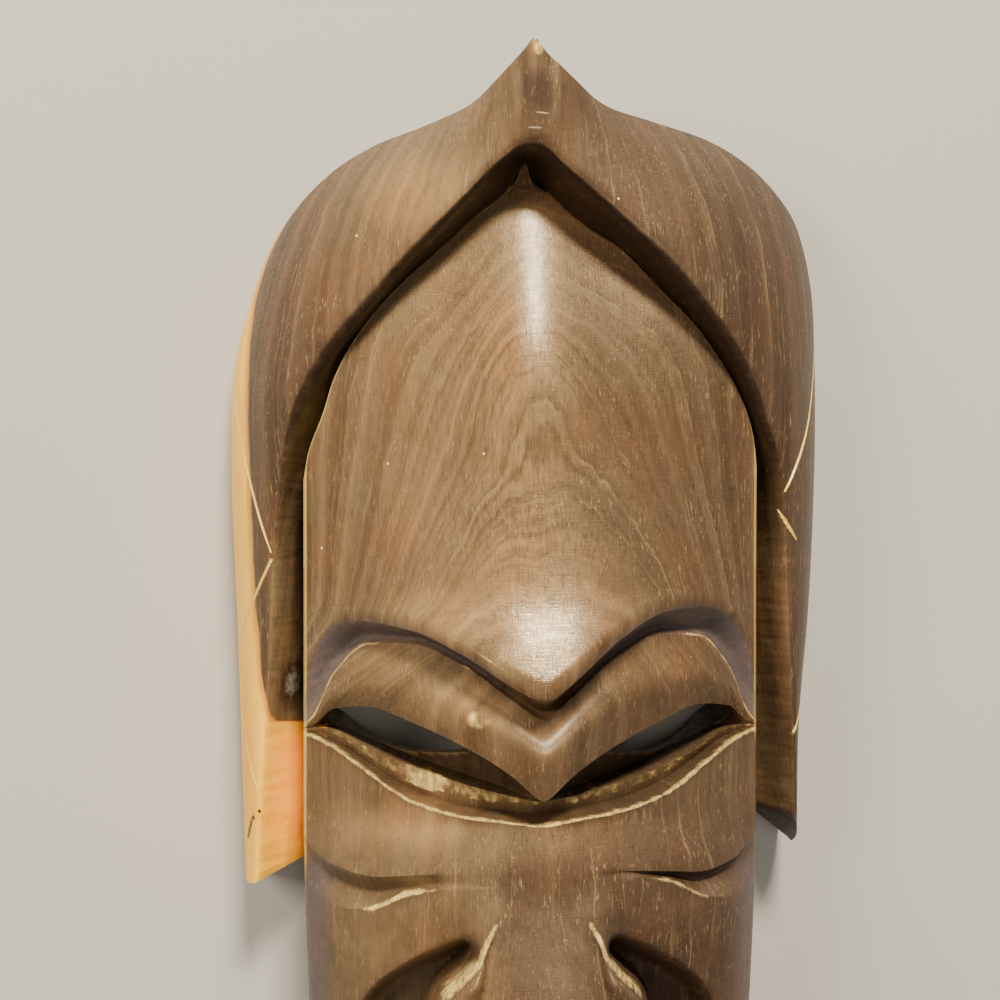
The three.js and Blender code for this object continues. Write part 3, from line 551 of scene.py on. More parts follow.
def spread(first_y, last_y, steps, height, x, power=1.0):
    """Rows between two lines, at the height that a surface has there."""
    rows = []
    for k in range(steps):
        y = mix(first_y, last_y, (k / steps) ** power)
        rows.append(line(y, height(x, y)))
    return rows


def line(y, z):
    return np.stack([y, z])


def face_rows(x):
    """The rows of the face from the hood to the chin: place and height of each at every x."""
    brow_y = lifted(BROW_Y, x, BROW_LIFT)
    rim_y = lifted(RIM_Y, x, RIM_LIFT)
    ledge_y = lifted(LEDGE_Y, x, LEDGE_LIFT)
    ledge_z = across(LEDGE_Z, x)
    recess_z = ledge_z - RECESS_SLOPE * (rim_y - ledge_y)
    sunk = GROOVE_DEPTH * (1 - (x / FACE_HALF_WIDTH) ** 2)
    lid_z = across(LID_Z, x)
    brow = line(brow_y, forehead_height(x, brow_y))
    groove = line(lifted(GROOVE_Y, x, LID_LIFT), lid_z - sunk)
    lid = line(lifted(LID_Y, x, LID_LIFT), lid_z)
    band = line(lifted(BAND_Y, x, LID_LIFT), across(BAND_Z, x))
    roll = line(lifted(ROLL_Y, x, LID_LIFT), across(ROLL_Z, x))
    rim = line(rim_y, across(RIM_Z, x))
    upper_recess = line(mix(rim_y, ledge_y, RECESS_WALL), recess_z)
    lower_recess = line(mix(rim_y, ledge_y, 1 - RECESS_WALL), recess_z)
    ledge = line(ledge_y, ledge_z)
    shelf = line(lifted(SHELF_Y, x, SOCKET_LIFT), across(SHELF_Z, x))
    socket_y = lifted(SOCKET_Y, x, SOCKET_LIFT)
    socket = line(socket_y, lower_height(x, socket_y))
    cheek_y = across(CHEEK_Y, x)
    cheek = line(cheek_y, lower_height(x, cheek_y))
    furrow_y = lifted(FURROW_Y, x, CREST_LIFT)
    furrow = line(furrow_y, lower_height(x, furrow_y) - across(FURROW_DEPTH, x))
    crest_y = lifted(CREST_Y, x, CREST_LIFT)
    crest = line(crest_y, lower_height(x, crest_y))
    hollow_y = across(HOLLOW_Y, x)
    chin_y = across(CHIN_EDGE_Y, x)

    turn_y = brow_y + BROW_TURN
    border_y = smooth_line(BORDER_X, BORDER_Y, x)
    rows = spread(border_y, turn_y, FOREHEAD_ROWS, forehead_height, x, FOREHEAD_CROWDING)
    rows += spread(turn_y, brow_y, TURN_ROWS, forehead_height, x)
    rows += chain([brow, groove, lid], GROOVE_ROWS)
    upper_roll = mix(band, roll, UPPER_ROLL)
    lower_roll = mix(roll, rim, LOWER_ROLL)
    rows += chain([lid, band, upper_roll, roll, lower_roll, rim], LID_ROWS)
    recess = [rim, upper_recess, lower_recess, ledge, shelf, socket]
    for upper, lower, count in zip(recess, recess[1:], RECESS_ROWS):
        rows += chain([upper, lower], [count])
    rows += spread(socket_y, cheek_y, CHEEK_ROWS, lower_height, x)
    rows += chain([cheek, furrow, crest], FURROW_ROWS)
    rows += spread(crest_y, hollow_y, CREST_ROWS, carved_lower_height, x)
    rows += spread(hollow_y, chin_y, CHIN_ROWS, carved_lower_height, x, CHIN_CROWDING)
    rows.append(line(chin_y, carved_lower_height(x, chin_y)))
    return rows


def grid_mesh(places, wall_from=None):
    """A sheet of squares laid on places[row, column]. Columns from wall_from on are an inner wall."""
    rows, columns = places.shape[:2]
    bm = bmesh.new()
    bmesh.ops.create_grid(bm, x_segments=columns - 1, y_segments=rows - 1, size=1)
    if wall_from is not None:
        cut = bm.faces.layers.int.new("cut_by")
        for face in bm.faces:
            column = (face.calc_center_median().x + 1) / 2 * (columns - 1)
            face[cut] = INNER_WALL if column > wall_from else HOOD
    for vert in bm.verts:
        column = round((vert.co.x + 1) / 2 * (columns - 1))
        row = round((1 - vert.co.y) / 2 * (rows - 1))
        vert.co = places[row, column]
    return bm


def add_object(name, data):
    """Puts a mesh, a light or a camera into the scene."""
    made = bpy.data.objects.new(name, data)
    bpy.context.scene.collection.objects.link(made)
    return made


def mesh_object(bm, name):
    mesh = bpy.data.meshes.new(name)
    bm.to_mesh(mesh)
    bm.free()
    return add_object(name, mesh)


def finish_block(bm, name, made_by=None):
    """Closes the open ends, points the faces outwards and makes an object in metres."""
    loops = [edge for edge in bm.edges if edge.is_boundary]
    bmesh.ops.holes_fill(bm, edges=loops, sides=0)
    if made_by is not None:
        cut = bm.faces.layers.int.new("cut_by")
        for face in bm.faces:
            face[cut] = made_by
    bmesh.ops.recalc_face_normals(bm, faces=bm.faces)
    bmesh.ops.scale(bm, vec=(MM, MM, MM), verts=bm.verts)
    return mesh_object(bm, name)


def face_block():
    t = np.arange(-FACE_COLUMNS, FACE_COLUMNS + 1) / FACE_COLUMNS
    x = FACE_HALF_WIDTH * np.sign(t) * np.abs(t) ** COLUMN_CROWDING
    rows = face_rows(x)
    places = np.stack([np.stack([x, y, z], axis=1) for y, z in rows])
    places[:, :, 0] *= 1 - JAW_TAPER * unit((JAW_START - places[:, :, 1]) / JAW_LENGTH) ** JAW_CURVE
    places[0, :, 2] -= ARRIS
    places[1:, [0, -1], 2] -= ARRIS
    bm = grid_mesh(places)
    border = [edge for edge in bm.edges if edge.is_boundary]
    grown = bmesh.ops.extrude_edge_only(bm, edges=border)["geom"]
    for vert in (item for item in grown if isinstance(item, bmesh.types.BMVert)):
        taper = mix(1, WALL_TAPER, fall(vert.co.y, *WALL_TAPER_SPAN))
        vert.co = (vert.co.x * taper, vert.co.y * taper, -BELOW_RIM)
    return finish_block(bm, "face_block", FACE)


def bend(a, b, c, f):
    """A point on the bend from a to c that b pulls towards itself."""
    return a * (1 - f) ** 2 + b * 2 * f * (1 - f) + c * f * f


def rounded(a, b, c, d, f):
    """A point on the curve from a to d that leaves towards b and arrives from c."""
    u = 1 - f
    return a * u**3 + b * 3 * f * u * u + c * 3 * f * f * u + d * f**3


def scooped(places):
    """Sinks the front of the peak into its scoop."""
    sunk = places.copy()
    across_scoop = (places[:, 0] - SCOOP_X) / SCOOP_HALF_WIDTH
    y = places[:, 1]
    along_scoop = rise(y, *SCOOP_SPAN) * fall(y, PEAK_Y, SCOOP_TIP)
    sunk[:, 2] -= SCOOP_DEPTH * ease(1 - across_scoop**2) * along_scoop
    return sunk


def hood_rings(t):
    """Cross-sections of the hood at t from -1 (left flap) over 0 (peak) to 1 (right flap)."""
    outline = rail(OUTLINE_LEFT, OUTLINE_RIGHT, t)
    ridge = rail(RIDGE_LEFT, RIDGE_RIGHT, t)
    foot = rail(FOOT_LEFT, FOOT_RIGHT, t)
    inward = ridge - outline
    inward[:, 2] = 0
    inward /= np.linalg.norm(inward, axis=1)[:, None]
    slant = HOOD_SLANT * (outline[:, 2] + BELOW_RIM)
    back = outline + inward * slant[:, None]
    back[:, 2] = -BELOW_RIM
    turn = outline + inward * SIDE_BULGE * slant[:, None]
    turn[:, 2] = outline[:, 2] * SIDE_BULGE_HEIGHT
    crown = mix(ridge, outline, CROWN_PLACE)
    crown[:, 2] = ridge[:, 2] - CROWN_DROP * (ridge[:, 2] - outline[:, 2])
    crown[:, 2] += PEAK_BULGE * ease(1 - np.abs(t) / PEAK_REACH)
    ring = [bend(back, turn, outline, f) for f in np.linspace(0, 1, BACK_COLUMNS + 1)[:-1]]
    before = bend(outline, crown, ridge, 1 - RIDGE_BLUNT)
    lead = mix(ridge, crown, RIDGE_BLUNT)
    after = mix(ridge, foot, RIDGE_BLUNT)
    to_ridge = np.linspace(0, 1 - RIDGE_BLUNT, FRONT_COLUMNS + 1)[:-1]
    front = [bend(outline, crown, ridge, f) for f in to_ridge]
    over_ridge = np.linspace(0, 1, RIDGE_COLUMNS + 1)[:-1]
    front += [rounded(before, lead, ridge, after, f) for f in over_ridge]
    ring += [scooped(places) for places in front]
    ring += [mix(after, foot, f) for f in np.linspace(0, 1, WALL_COLUMNS)]
    under = foot.copy()
    under[:, 2] = -BELOW_RIM
    ring += [under, back]
    return np.stack(ring, axis=1)


def hood_block():
    t = np.arange(-HOOD_ROWS, HOOD_ROWS + 1) / HOOD_ROWS
    bm = grid_mesh(hood_rings(t), wall_from=WALL_FROM)
    bmesh.ops.remove_doubles(bm, verts=bm.verts, dist=SAME_PLACE)
    return finish_block(bm, "hood_block")


def ball(columns, rows):
    bm = bmesh.new()
    bmesh.ops.create_uvsphere(bm, u_segments=columns, v_segments=rows, radius=1)
    return bm


def cavity_block():
    """The scoop that hollows the back: the top of a ball pressed into a squarish dome."""
    half_length = (CAVITY_TOP - CAVITY_BOTTOM) / 2
    middle_y = (CAVITY_TOP + CAVITY_BOTTOM) / 2
    power = 2 / CAVITY_SQUARENESS
    bm = ball(*CAVITY_GRID)
    for vert in bm.verts:
        angle = math.atan2(vert.co.y, vert.co.x)
        reach = min(math.hypot(vert.co.x, vert.co.y), 1)
        across_x = math.copysign(abs(math.cos(angle)) ** power, math.cos(angle))
        along_y = math.copysign(abs(math.sin(angle)) ** power, math.sin(angle))
        depth = CAVITY_DEPTH * (1 - reach**CAVITY_SQUARENESS) ** CAVITY_FULLNESS
        if vert.co.z < -SAME_PLACE:
            depth = -2 * BELOW_RIM
        x = CAVITY_HALF_WIDTH * reach * across_x
        vert.co = (x, middle_y + half_length * reach * along_y, depth)
    return finish_block(bm, "cavity_block", HOLLOW)


def slit_block(side):
    """The almond-shaped cut through one eye, straight from front to back."""
    out = np.linspace(SLIT_FROM, SLIT_TO, SLIT_COLUMNS)
    x = side * out
    rim_y = lifted(RIM_Y, x, RIM_LIFT)
    ledge_y = lifted(LEDGE_Y, x, LEDGE_LIFT)
    blunt = np.sqrt(1 - unit(1 - (SLIT_TO - out) / SLIT_END) ** 2)
    reach = smooth_line(SLIT_ACROSS, SLIT_OPEN, out)
    upper = mix(rim_y, ledge_y, mix(SLIT_END_TOP, SLIT_MARGIN, blunt))
    lower = mix(rim_y, ledge_y, mix(SLIT_END_BOTTOM, reach, blunt))
    top = np.full_like(x, SLIT_HIGH)
    places = np.stack([np.stack([x, upper, top], axis=1), np.stack([x, lower, top], axis=1)])
    bm = grid_mesh(places)
    grown = bmesh.ops.extrude_face_region(bm, geom=list(bm.faces))["geom"]
    for vert in (item for item in grown if isinstance(item, bmesh.types.BMVert)):
        vert.co.z = SLIT_LOW
    return finish_block(bm, "slit_block", SLIT)


def nostril_block(side):
    bm = ball(*NOSTRIL_GRID)
    bmesh.ops.scale(bm, vec=NOSTRIL_SIZE, verts=bm.verts)
    bmesh.ops.translate(bm, vec=(side * NOSTRIL_X, NOSTRIL_Y, NOSTRIL_Z), verts=bm.verts)
    return finish_block(bm, "nostril_block", SLIT)


def ground_block():
    bm = bmesh.new()
    bmesh.ops.create_cube(bm, size=1)
    bmesh.ops.scale(bm, vec=GROUND_SIZE, verts=bm.verts)
    bmesh.ops.translate(bm, vec=(0, 0, -GROUND_SIZE[2] / 2), verts=bm.verts)
    return finish_block(bm, "ground_block", RIM)


def carve(block, tool, operation):
    """Joins a tool to a block or cuts it out, and removes the tool."""
    cut = block.modifiers.new(operation, "BOOLEAN")
    cut.object = tool
    cut.operation = operation
    cut.solver = "MANIFOLD"
    bpy.context.view_layer.update()
    graph = bpy.context.evaluated_depsgraph_get()
    made = bpy.data.meshes.new_from_object(block.evaluated_get(graph))
    block.modifiers.clear()
    block.data = made
    bpy.data.objects.remove(tool)


def make_mask():
    mask = hood_block()
    carve(mask, face_block(), "UNION")
    carve(mask, cavity_block(), "DIFFERENCE")
    for side in (-1, 1):
        carve(mask, slit_block(side), "DIFFERENCE")
        carve(mask, nostril_block(side), "DIFFERENCE")
    carve(mask, ground_block(), "DIFFERENCE")
    bm = bmesh.new()
    bm.from_mesh(mask.data)
    surface = BVHTree.FromBMesh(bm)
    bm.free()
    for points in FLAP_LINES:
        carve(mask, groove_block(surface, points), "DIFFERENCE")
    mask.name = "carved_mask"
    mask.data.name = "carved_mask"
    return mask


def line_distance(x, y, points):
    """Distance of every place from a line of points."""
    nearest = np.full_like(x, np.inf)
    for (ax, ay), (bx, by) in zip(points, points[1:]):
        length = (bx - ax) ** 2 + (by - ay) ** 2
        t = unit(((x - ax) * (bx - ax) + (y - ay) * (by - ay)) / length)
        nearest = np.minimum(nearest, np.hypot(x - mix(ax, bx, t), y - mix(ay, by, t)))
    return nearest


def groove_block(surface, points):
    """A tapering wedge that follows a line over the surface, with its sharp edge inside the wood."""
    places = np.array(points)
    reach = np.linspace(0, 1, LINE_STEPS)
    known = np.linspace(0, 1, len(points))
    xs = smooth_line(known, places[:, 0], reach)
    ys = smooth_line(known, places[:, 1], reach)
    spots = []
    for x, y in zip(xs, ys):
        hit, normal, _, _ = surface.ray_cast(Vector((x, y, ABOVE_MASK)) * MM, Vector((0, 0, -1)))
        if hit is not None:
            spots.append((hit / MM, normal))
    rings = []
    for i, (hit, normal) in enumerate(spots):
        ahead = spots[min(i + 1, len(spots) - 1)][0] - spots[max(i - 1, 0)][0]
        sideways = ahead.cross(normal).normalized()
        taper = LINE_END + (1 - LINE_END) * math.sin(math.pi * reach[i]) ** LINE_TAPER
        depth = LINE_DEPTH * taper
        half = LINE_WIDTH * taper * (1 + LINE_CLEARANCE / depth)
        bottom = hit - normal * depth
        top = hit + normal * LINE_CLEARANCE
        rings.append([bottom, top - sideways * half, top + sideways * half, bottom])
    bm = grid_mesh(np.array([[list(place) for place in ring] for ring in rings]))
    bmesh.ops.remove_doubles(bm, verts=bm.verts, dist=SAME_PLACE)
    return finish_block(bm, "groove_block", GROOVE)


def near(distance, width):
    """1 on a line, falling to 0 at a width from it."""
    return unit(1 - np.abs(distance) / width)


def wear_and_glint_lines(x, y, z, face, hood):
    """Where handling has rubbed the finish through to pale wood along carved edges, with a painted highlight
    along the left brow's edge, and on the peak's tip, which is partly worn and partly a painted highlight.
    """
    out = np.abs(x)
    left = x < 0
    lid = near(y - lifted(LID_Y, x, LID_LIFT), 1.0) * mix(0.45, 0.85, rise(out, 36, 16))
    socket = near(y - lifted(SOCKET_Y, x, SOCKET_LIFT), 0.75) * 0.85
    below = lifted(LEDGE_Y, x, LEDGE_LIFT) - y
    ledge_pale = np.where(left, mix(0.5, 0.8, rise(out, 24, 4) * fall(out, 38, 5)), 0.48)
    left_band = smooth_line(LEDGE_BAND_ACROSS, LEDGE_BAND_LEFT, out)
    right_band = smooth_line(LEDGE_BAND_ACROSS, LEDGE_BAND_RIGHT, out)
    band = np.where(left, left_band, right_band)
    ledge = ease(below / 0.5 + 1) * ease((band - below) / 0.7 + 0.5) * ledge_pale
    crest_ends = rise(out, 22, 14) * fall(out, 52, 5)
    crest = near(y - lifted(CREST_Y, x, CREST_LIFT), 1.0) * crest_ends * np.where(left, 1, 0.75)
    nose_side = smooth_line(WING_SIDE_Y, WING_SIDE_X, y)
    nose_rows = fall(y, -56, 2) * rise(y, -84, 8)
    nose = near(out - nose_side, 1.6) * nose_rows
    brow_y = lifted(BROW_Y, x, BROW_LIFT) + 3.2
    # Painted highlight along the edge of the left brow
    brow = near(y - brow_y, 1.0) * rise(x, -30, 4) * fall(x, -4, 3) * 0.6
    wear_and_glint = np.maximum.reduce([lid, socket, ledge, crest, nose, brow]) * face
    for (spot_x, spot_y), radius in BRIGHT_SPOTS:
        spot = ease(1.4 - np.hypot(x - spot_x, (y - spot_y) * 1.4) / radius)
        wear_and_glint = np.maximum(wear_and_glint, spot * face * 0.6)
    # The peak's tip: partly worn, partly a painted highlight
    tip = ease(1.2 - np.sqrt(x * x + (y - 184.5) ** 2 + (z - 61) ** 2) / 3) * hood
    return np.maximum(wear_and_glint, tip)


def face_arris(x, y, face):
    """The sharp upper edge of the face, rubbed to a golden line: along its top and down its sides."""
    border = smooth_line(BORDER_X, BORDER_Y, x)
    steep = smooth_line(BORDER_X, BORDER_Y, x + 0.5) - smooth_line(BORDER_X, BORDER_Y, x - 0.5)
    inside = (border - y) / np.hypot(1, steep)
    top = near(inside, 0.9) * np.where(x < 0, 0.8, 0.55) * rise(inside, -0.6, 0.3)
    fade = mix(np.where(x < 0, 0.8, 0), 1.25, rise(y, -30, 40))
    side = ease((np.abs(x) - 65.8) / 0.6) * fade
    return top * face, side * face


def painted_crease_shade(x, y, face, wall):
    """Painted shade: darker in the carving's grooves, recesses and creases and on the hood's inner walls,
    most towards the top of the arch.
    """
    out = np.abs(x)
    groove = near(y - lifted(GROOVE_Y, x, LID_LIFT), 4.5) * mix(0.75, 0.0, rise(out, 14, 20))
    rim_y = lifted(RIM_Y, x, RIM_LIFT)
    ledge_y = lifted(LEDGE_Y, x, LEDGE_LIFT)
    recess = ease((rim_y - y) / 1.5) * ease((y - ledge_y) / 1.0) * 1.2
    shelf = near(y - lifted(SHELF_Y, x, SOCKET_LIFT), 3.5) * 0.75
    furrow = near(y - lifted(FURROW_Y, x, CREST_LIFT), 4) * rise(out, 26, 8) * 0.6
    nose_side = smooth_line(WING_SIDE_Y, WING_SIDE_X, y)
    beside_nose = near(out - nose_side - 3.5, 4) * fall(y, -60, 6) * rise(y, -112, 6) * 0.35
    mouth = near(y - LIP_Y, 1.6) * fall(out, LIP_HALF_WIDTH, 2)
    creases = np.maximum.reduce([groove, recess, shelf, furrow, beside_nose, mouth])
    # Painted shade on the hood's inner walls, deepest towards the top of the arch
    arch = wall * mix(np.where(x < 0, 0, 0.4), np.where(x < 0, 1.15, 1.35), rise(y, 35, 50))
    return unit(creases * face) + arch


def dark_wood_and_shade(x, y, face, hood, wall):
    """How much darker and more purple the surface is made towards the right and the outer parts: partly
    darker wood on the right, otherwise painted shade on the right, the outer hood, the jaw, the nose, the
    peak's hollow and the right flap's end, with a purple cast that is a painted cool reflection.
    """
    out = np.abs(x)
    # Partly darker wood on the right, partly painted shade
    right_face = mix(0.5, 0.9, fall(y, -25, 20)) * rise(x, -22, 50) * face
    right = right_face + 0.9 * rise(x, -15, 40) * hood
    # Painted shade on the outer hood, the jaw, the nose, the peak's hollow and the right flap's end
    outer = mix(0.7, 1.5, ease(x / 20 + 0.5)) * rise(out, 34, 38) * hood
    jaw = 0.8 * rise(out, 52, 14) * fall(y, -42, 8) * face
    nose = 0.7 * fall(out, 17, 8) * fall(y, -30, 12) * face
    peak = ease(1.25 - np.hypot(x + 1.2, (y - 173) / 1.5) / 8) * hood
    flap_end = 1.1 * fall(y, -34, 4) * (x > 0) * np.maximum(hood, wall)
    return np.maximum.reduce([right, outer, jaw, nose, peak, flap_end])


def rubbed_and_highlit(x, y, face, hood, wall):
    """Broad paler places: partly where handling has rubbed the finish, partly painted highlight on the brow,
    the lids, the middle of the forehead and the peak, and painted light on the lower left inner wall.
    """
    pale = np.zeros_like(x)
    for (spot_x, spot_y), (half_width, half_height), amount in PALE_AREAS:
        reach = np.hypot((x - spot_x) / half_width, (y - spot_y) / half_height)
        pale = np.maximum(pale, amount * ease(1.35 - reach))
    # Painted light on the lower part of the left inner wall
    low_wall = wall * (x < 0) * fall(y, 45, 40) * 0.6
    return pale * np.maximum(face, hood) + low_wall


def painted_cool_reflection(x, y, face, hood, wall):
    """Painted cool reflection: a thin bluish cast under the brow, along the jaw and on the end of the right
    flap, on surfaces that face away from the lamps.
    """
    out = np.abs(x)
    below_brow = ease((lifted(BROW_Y, x, BROW_LIFT) - y) / 2.5 + 0.6)
    above_lid = ease((y - lifted(LID_Y, x, LID_LIFT)) / 2 + 0.3)
    under_brow = below_brow * above_lid * rise(out, 4, 22)
    jaw = rise(out, 55, 9) * fall(y, -42, 8) * 0.8
    flap_end = fall(y, -36, 3) * (x > 0) * 0.7
    return np.maximum(under_brow, jaw) * face + flap_end * np.maximum(hood, wall)


def figure_of_wood(x, y, z, hood):
    """How deep in the growth layers each place is: they lie flat under the forehead and slant elsewhere."""
    forehead = z + 0.06 * (x + 8)
    below = 68 - 0.33 * np.abs(x + 5) + 0.15 * z
    face = mix(below, forehead, rise(y, -5, 35))
    side = 0.35 * (z - 0.75 * np.abs(x)) + 0.012 * y + 45
    return np.where(hood, side, face)


def store(mesh, name, values, domain="POINT"):
    layer = mesh.attributes.new(name, "FLOAT", domain)
    layer.data.foreach_set("value", values.astype(np.float32))


def read(items, field, kind=np.int32, size=1):
    values = np.empty(len(items) * size, kind)
    items.foreach_get(field, values)
    return values


def paint(mask):
    """Stores on the mesh what the wood's finish depends on, and where shade, highlights and cool reflections
    are painted.
    """
    mesh = mask.data
    x, y, z = read(mesh.vertices, "co", np.float32, 3).reshape(-1, 3).T.astype(float) / MM
    cut_by = read(mesh.attributes["cut_by"].data, "value")
    made_by = np.zeros(len(mesh.vertices), np.int32)
    made_by[read(mesh.loops, "vertex_index")] = np.repeat(cut_by, read(mesh.polygons, "loop_total"))

    face = (made_by == FACE).astype(float)
    hood = (made_by == HOOD).astype(float)
    wall = (made_by == INNER_WALL).astype(float)
    back = np.isin(made_by, (HOLLOW, RIM)).astype(float)
    store(mesh, "figure", figure_of_wood(x, y, z, made_by < FACE))
    store(mesh, "wear_and_glint", wear_and_glint_lines(x, y, z, face, hood))
    top_arris, side_arris = face_arris(x, y, face)
    store(mesh, "arris", top_arris)
    store(mesh, "side_arris", side_arris)
    store(mesh, "below_edge", smooth_line(EDGE_Y, EDGE_Z, y) - z)
    store(mesh, "painted_shade", painted_crease_shade(x, y, face, wall))
    store(mesh, "gouged", np.maximum(wall, back))
    store(mesh, "back", back)
    store(mesh, "dark_wood_and_shade", dark_wood_and_shade(x, y, face, hood, wall))
    store(mesh, "rubbed_and_highlit", rubbed_and_highlit(x, y, face, hood, wall))
    store(mesh, "calm", face * fall(y, -22, 18))
    figured = np.exp(-(((x + 4) / 20) ** 2)) * rise(y, 30, 20) * fall(y, 120, 25)
    store(mesh, "figured", figured * face)
    lid_middle = np.exp(-((x / 15) ** 2)) * fall(y, 3, 3) * rise(y, -16, 4)
    brow_middle = np.exp(-(((x + 1) / 13) ** 2)) * rise(y, 3, 5) * fall(y, 40, 14)
    scoop = ease(1.3 - np.hypot((x - SCOOP_X) / 6, (y - 174) / 12)) * hood
    matt = np.maximum(hood, wall) + face * (fall(y, 5, 30) * 0.5 + lid_middle * 1.3 - brow_middle * 0.9)
    store(mesh, "matt", matt + 2 * scoop)
    store(mesh, "painted_cool_reflection", painted_cool_reflection(x, y, face, hood, wall))
    edge_x = smooth_line(SAPWOOD_Y, SAPWOOD_X, y)
    side_wall = np.minimum(smooth_line(EDGE_Y, EDGE_Z, y) - 2 * ARRIS - z, -8 - y)
    side_wall = np.where(x < -60, side_wall, -SAPWOOD_REACH)
    sapwood = np.clip(np.where(face > 0, side_wall, edge_x - x), -SAPWOOD_REACH, SAPWOOD_REACH)
    store(mesh, "sapwood", np.where(back > 0, -SAPWOOD_REACH, sapwood))
    store(mesh, "crack", near(line_distance(x, y, CRACK), 3))
    store(mesh, "fresh_cut", (cut_by == GROOVE).astype(float), "FACE")
    mesh.attributes.remove(mesh.attributes["cut_by"])


class Value:
    """An output of a node, which can be added, taken away and multiplied."""

    def __init__(self, socket):
        self.socket = socket

    def __add__(self, other):
        return math_node("ADD", self, other)

    def __sub__(self, other):
        return math_node("SUBTRACT", self, other)

    def __mul__(self, other):
        return math_node("MULTIPLY", self, other)


def feed(socket, value):
    """Feeds a socket from a node, or sets its value."""
    if isinstance(value, Value):
        tree.links.new(value.socket, socket)
    elif socket.type == "RGBA" and len(value) == 3:
        socket.default_value = (*value, 1)
    else:
        socket.default_value = value


def node(kind, inputs, output=0, **settings):
    """Adds a node with its settings, feeds its inputs and gives one of its outputs."""
    made = tree.nodes.new("ShaderNode" + kind)
    for name, value in settings.items():
        setattr(made, name, value)
    for name, value in inputs.items():
        feed(made.inputs[name], value)
    return Value(made.outputs[output])


def math_node(operation, first, second, clamp=False):
    return node("Math", {0: first, 1: second}, operation=operation, use_clamp=clamp)


def stretched(places, scale):
    return node("VectorMath", {0: places, 1: scale}, operation="MULTIPLY")


def distance(places, spot):
    return node("VectorMath", {0: places, 1: spot}, "Value", operation="DISTANCE")


def cloud(scale, detail=3.0, rough=0.55, twist=0.0):
    """Noise with so many features per millimetre along X, Y and Z."""
    shape = {"Scale": 1, "Detail": detail, "Roughness": rough, "Distortion": twist}
    return node("TexNoise", {"Vector": stretched(place_mm, scale), **shape}, "Fac")


def layers(depth, scale, detail, rough):
    """Irregular bands along one direction."""
    shape = {"Scale": scale, "Detail": detail, "Roughness": rough}
    return node("TexNoise", {"W": depth, **shape}, "Fac", noise_dimensions="1D")


def step_between(value, low, high, to_low=0.0, to_high=1.0):
    """A soft step from to_low to to_high as a value goes from low to high."""
    limits = {"From Min": low, "From Max": high, "To Min": to_low, "To Max": to_high}
    return node("MapRange", {"Value": value, **limits}, "Result", interpolation_type="SMOOTHSTEP")


def tones(value, stops):
    """A colour read from stops, each a place and its colour."""
    read = node("ValToRGB", {"Fac": value}, "Color")
    ramp = read.socket.node.color_ramp
    for index, (place, colour) in enumerate(stops):
        stop = ramp.elements[index] if index < 2 else ramp.elements.new(place)
        stop.position = place
        stop.color = (*colour, 1)
    return read


def blend(amount, under, over, kind="MIX"):
    inputs = {"Factor": amount, "A": under, "B": over}
    return node("Mix", inputs, "Result", data_type="RGBA", blend_type=kind)


def stored(name):
    """A value that paint stored on the mesh."""
    return node("Attribute", {}, "Fac", attribute_name=name)


def heartwood(depth, fibre, pores):
    """Brown heartwood with its growth layers, fibres and pores, paler where rubbed and where highlights are
    painted, and darker where shade is painted or the wood is darker.
    """
    fine = layers(depth, 1.3, 3, 0.6)
    fleck = cloud((0.55, 0.14, 0.55), 4, 0.7)
    grain = layers(depth, 0.36, 2, 0.5) * 0.44 + fine * 0.15 + fibre * 0.2 + fleck * 0.21
    heart = tones(grain, HEART_TONES)
    calm = tones(cloud((0.16, 0.1, 0.16), 4, 0.65), CALM_TONES)
    heart = blend(stored("calm") * 0.68, heart, calm)
    figure = tones(fine * 0.6 + fleck * 0.4, FIGURE_GAINS)
    heart = blend(stored("figured") * 0.7, heart, figure, "MULTIPLY")
    # Paler where rubbed, and painted highlights on the brow, lids, forehead and peak
    heart = blend(stored("rubbed_and_highlit"), heart, RUBBED_AND_HIGHLIT_GAIN, "MULTIPLY")
    mottle = step_between(cloud((0.05, 0.03, 0.05), 2), 0.35, 0.7)
    heart = blend(mottle, heart, MOTTLE_GAIN, "MULTIPLY")
    # Painted shade with a cool purple cast, partly darker wood on the right
    heart = blend(stored("dark_wood_and_shade"), heart, DARK_WOOD_AND_SHADE_GAIN, "MULTIPLY")
    return blend(pores * 0.35, heart, PORES)


def add_sapwood(heart, fibre):
    """Sapwood inside its uneven, stained edge. Gives the colour and how far each place is sapwood."""
    reach = stored("sapwood") + (cloud((0.3, 0.08, 0.3), 3) - 0.5) * 1.4
    sapwood = step_between(reach, -0.35, 0.45)
    sap = tones(cloud((0.09, 0.02, 0.09), 3) + fibre * 0.3, SAP_TONES)
    sap = blend(step_between(reach, 0.3, 2.2, 0.75, 0.0), sap, SAP_STAIN)
    return blend(sapwood, heart, sap), sapwood


def add_knot(colour):
    """A dark knot with grey dust in its middle."""
    reach = distance(place_mm, KNOT) + (cloud((0.5, 0.5, 0.5), 4) - 0.5) * 5
    colour = blend(step_between(reach, 5, 11, 0.85, 0.0), colour, KNOT_STAIN)
    dust = tones(cloud((0.7, 0.7, 0.7), 4, 0.7), DUST_TONES)
    return blend(step_between(reach, 3.2, 5.6, 0.85, 0.0), colour, dust)


